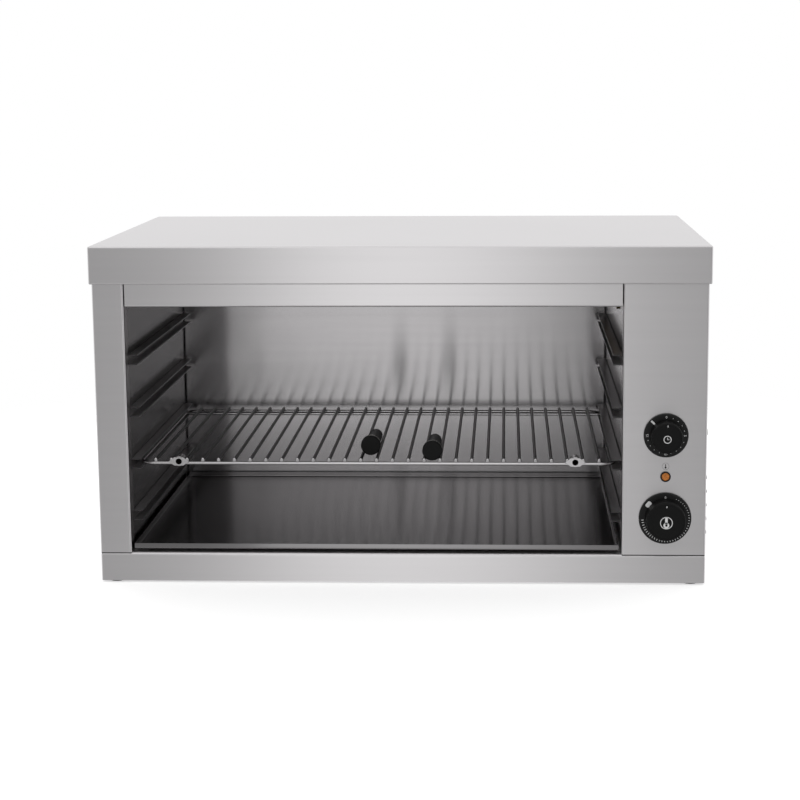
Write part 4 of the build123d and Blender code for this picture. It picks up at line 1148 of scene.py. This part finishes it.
@dataclass
class PanScrews:
    """M4 pan head screws with a cross recess. Millimetres."""

    head_radius: float = 3.8
    head_height: float = 2.0
    rim_share: float = 0.9
    shank_radius: float = 2.0
    shank_length: float = 8.0
    slot_width: float = 0.9
    slot_depth: float = 1.1
    slot_share: float = 1.15

    def screw(self) -> Object:
        """Model one screw.

        Returns:
            The screw, with its head above its own XY plane.
        """
        bpy.ops.mesh.primitive_cylinder_add(
            vertices=32, radius=self.head_radius * MM, depth=self.head_height * MM,
            location=(0, 0, self.head_height * MM / 2),
        )
        head = bpy.context.active_object
        apply_place(head)
        rim = self.rim_share * self.head_height * MM
        with editing_edges(head, lambda one, other: one.z > rim and other.z > rim):
            bpy.ops.mesh.bevel(offset=self.head_height / 2 * MM, offset_pct=0, segments=4, affect="EDGES")
        long_side, short_side = self.slot_share * self.head_radius, self.slot_width
        for sides in ((long_side, short_side), (short_side, long_side)):
            bpy.ops.mesh.primitive_cube_add(size=MM, location=(0, 0, self.head_height * MM))
            cutter = bpy.context.active_object
            cutter.scale = (*sides, 2 * self.slot_depth)
            apply_place(cutter)
            cut = head.modifiers.new("recess", "BOOLEAN")
            cut.operation = "DIFFERENCE"
            cut.solver = "EXACT"
            cut.object = cutter
            only(head)
            bpy.ops.object.modifier_apply(modifier=cut.name)
            bpy.data.objects.remove(cutter)
        bpy.ops.mesh.primitive_cylinder_add(
            vertices=16, radius=self.shank_radius * MM, depth=self.shank_length * MM,
            location=(0, 0, -self.shank_length * MM / 2),
        )
        shank = bpy.context.active_object
        apply_place(shank)
        return join([head, shank])

    def places(self, row: ScrewRow) -> list[Matrix]:
        """Work out where a node's screws stand, from the node's own box.

        Args:
            row: The node with the number of its columns and rows.

        Returns:
            A place for each screw, under its head.
        """
        low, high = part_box(row.node)
        reach = self.head_radius * MM
        head = self.head_height * MM
        found = []
        for column in range(row.columns):
            for rung in range(row.rows):
                z = spaced(low.z + reach, high.z - reach, rung, row.rows)
                if row.facing is Facing.RIGHT:
                    at = (high.x - head, spaced(low.y + reach, high.y - reach, column, row.columns), z)
                else:
                    y = low.y + head if row.facing is Facing.FRONT else high.y - head
                    at = (spaced(low.x + reach, high.x - reach, column, row.columns), y, z)
                found.append(Matrix.Translation(at) @ row.facing.value)
        return found

    def build(self, workshop: Workshop) -> None:
        """Model all four groups of screws in place of the plain ones.

        Args:
            workshop: Dresses the pieces.
        """
        rows = (
            ScrewRow("rear_panel_screws", Facing.BACK, 2, 3),
            ScrewRow("cover_screws", Facing.BACK, 3, 1),
            ScrewRow("control_fixing_screws", Facing.FRONT, 2, 2),
            ScrewRow("side_panel_screw", Facing.RIGHT, 1, 1),
        )
        for row in rows:
            screws = repeat(self.screw(), self.places(row))
            piece = workshop.settle(screws, f"cross_{row.node}", "cabinet", "zinc_steel")
            bpy.ops.object.shade_smooth_by_angle(angle=SMOOTH_UNDER)
            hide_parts(row.node)


# ---- Studio ----

# Light of the room at eye level: degrees to the right of straight ahead of the object, and level.
# The window from -9 to 2 degrees makes the bright band in the middle of the casing.
ROOM_BANDS = (
    (-180, 1.0), (-100, 1.0), (-60, 0.75), (-35, 0.42), (-16, 0.39),
    (-9.8, 0.46), (-8.8, 1.15), (-3.5, 1.34), (-0.2, 1.15), (3.5, 0.60),
    (8, 0.41), (35, 0.40), (60, 0.75), (100, 1.0), (180, 1.0),
)


@dataclass
class Studio:
    """White studio: a pale floor, a soft world, and the camera of the photograph."""

    lens_px: float = 1635.0
    image_px: float = 800.0
    sensor_mm: float = 36.0
    shift: tuple[float, float] = (-0.065, -0.120)
    camera_mm: tuple[float, float, float] = (105.0, -1742.0, 511.0)
    pitch: float = 8.21
    yaw: float = -1.92
    roll: float = 0.30
    floor_radius: float = 0.95
    floor_fade: float = 0.55
    paper: float = 0.82
    paper_glow: float = 0.45
    roof_level: float = 1.08
    roof_z: tuple[float, float] = (0.45, 0.85)
    table_level: float = 0.52
    table_z: tuple[float, float] = (-0.34, -0.60)

    def camera(self) -> None:
        """Place the camera where the photograph was taken from."""
        data = bpy.data.cameras.new("photo_camera")
        data.sensor_width = self.sensor_mm
        data.lens = self.lens_px * self.sensor_mm / self.image_px
        data.shift_x, data.shift_y = self.shift
        data.clip_end = 50.0
        eye = bpy.data.objects.new("photo_camera", data)
        bpy.context.scene.collection.objects.link(eye)
        down, side, tip = (math.radians(v) for v in (self.pitch, self.yaw, self.roll))
        ahead = Vector((math.sin(side) * math.cos(down), math.cos(side) * math.cos(down), -math.sin(down)))
        right = Vector((math.cos(side), -math.sin(side), 0.0))
        below = ahead.cross(right)
        turned_right = right * math.cos(tip) + below * math.sin(tip)
        turned_below = below * math.cos(tip) - right * math.sin(tip)
        axes = Matrix((turned_right, -turned_below, -ahead)).transposed().to_4x4()
        eye.matrix_world = Matrix.Translation(Vector(self.camera_mm) * MM) @ axes
        bpy.context.scene.camera = eye

    def floor(self) -> None:
        """Lay a round white floor that fades into the background far from the object."""
        bpy.ops.mesh.primitive_circle_add(vertices=96, radius=self.floor_radius, fill_type="NGON")
        disc = bpy.context.active_object
        disc.name = "studio_floor"
        material, tree, out = new_material("white_paper_floor")
        place = put(tree, "ShaderNodeTexCoord").outputs["Object"]
        reach = put(tree, "ShaderNodeVectorMath", {0: place}, operation="LENGTH").outputs["Value"]
        inputs = {"Value": reach, 1: self.floor_fade, 2: self.floor_radius, 3: 0.0, 4: 1.0}
        fade = put(tree, "ShaderNodeMapRange", inputs, interpolation_type="SMOOTHSTEP").outputs[0]
        paper = put(tree, "ShaderNodeBsdfDiffuse", {"Color": grey(self.paper)})
        path = put(tree, "ShaderNodeLightPath")
        # Only the camera sees the paper's glow, so it lights nothing and the floor stays near white.
        inputs = {0: path.outputs["Is Camera Ray"], 1: self.paper_glow}
        lift = put(tree, "ShaderNodeMath", inputs, operation="MULTIPLY")
        glow = put(tree, "ShaderNodeEmission", {"Color": grey(1.0), "Strength": lift.outputs[0]})
        lit = put(tree, "ShaderNodeAddShader", {0: paper.outputs[0], 1: glow.outputs[0]})
        clear = put(tree, "ShaderNodeBsdfTransparent")
        # Steel mirrors the world's own table level instead of the paper.
        gone = put(tree, "ShaderNodeMath", {0: fade, 1: path.outputs["Is Glossy Ray"]}, operation="MAXIMUM")
        mix = put(tree, "ShaderNodeMixShader", {0: gone.outputs[0], 1: lit.outputs[0], 2: clear.outputs[0]})
        tree.links.new(mix.outputs[0], out.inputs[0])
        disc.data.materials.append(material)

    def world(self) -> None:
        """Make the world: white to the camera, and for light a bright window with grey beside it."""
        world = bpy.data.worlds.new("soft_studio")
        bpy.context.scene.world = world
        world.use_nodes = True
        tree = world.node_tree
        tree.nodes.clear()
        toward = put(tree, "ShaderNodeTexCoord").outputs["Generated"]
        parts = put(tree, "ShaderNodeSeparateXYZ", {0: toward})
        ahead = put(tree, "ShaderNodeMath", {0: parts.outputs[1], 1: -1.0}, operation="MULTIPLY")
        inputs = {0: parts.outputs[0], 1: ahead.outputs[0]}
        angle = put(tree, "ShaderNodeMath", inputs, operation="ARCTAN2")
        share = put(tree, "ShaderNodeMapRange", {"Value": angle.outputs[0], 1: -math.pi, 2: math.pi})
        ramp = put(tree, "ShaderNodeValToRGB", {0: share.outputs[0]})
        ramp.color_ramp.interpolation = "EASE"
        stops = ramp.color_ramp.elements
        for index, (degrees, level) in enumerate(ROOM_BANDS):
            position = (degrees + 180) / 360
            stop = stops[index] if index < 2 else stops.new(position)
            stop.position = position
            stop.color = grey(level)
        overhead, below = (
            put(
                tree, "ShaderNodeMapRange", {"Value": parts.outputs[2], 1: start, 2: end},
                interpolation_type="SMOOTHSTEP",
            ).outputs[0]
            for start, end in (self.roof_z, self.table_z)
        )
        sky = ramp.outputs[0]
        seen = put(tree, "ShaderNodeLightPath").outputs["Is Camera Ray"]
        for share_over, level in ((overhead, self.roof_level), (below, self.table_level), (seen, 1.0)):
            inputs = {0: share_over, 6: sky, 7: grey(level)}
            sky = put(tree, "ShaderNodeMix", inputs, data_type="RGBA").outputs[2]
        glow = put(tree, "ShaderNodeBackground", {"Color": sky, "Strength": 1.0})
        out = put(tree, "ShaderNodeOutputWorld")
        tree.links.new(glow.outputs[0], out.inputs[0])

    def build(self) -> None:
        """Build the whole studio."""
        self.camera()
        self.floor()
        self.world()
        bpy.context.scene.view_settings.view_transform = "Standard"


def main() -> None:
    """Dress the object, add its fine pieces and light it."""
    logging.basicConfig(level=logging.INFO, format="%(name)s: %(message)s")
    workshop = Workshop()
    workshop.dress_nodes()
    TimerDial().build(workshop)
    ThermostatDial().build(workshop)
    PanelSign().build(workshop)
    GridWelds().build(workshop)
    HandleEyes().build(workshop)
    HandleStuds().build(workshop)
    PanelSeamShade().build(workshop)
    PanScrews().build(workshop)
    Studio().build()


if __name__ == "__main__":
    main()
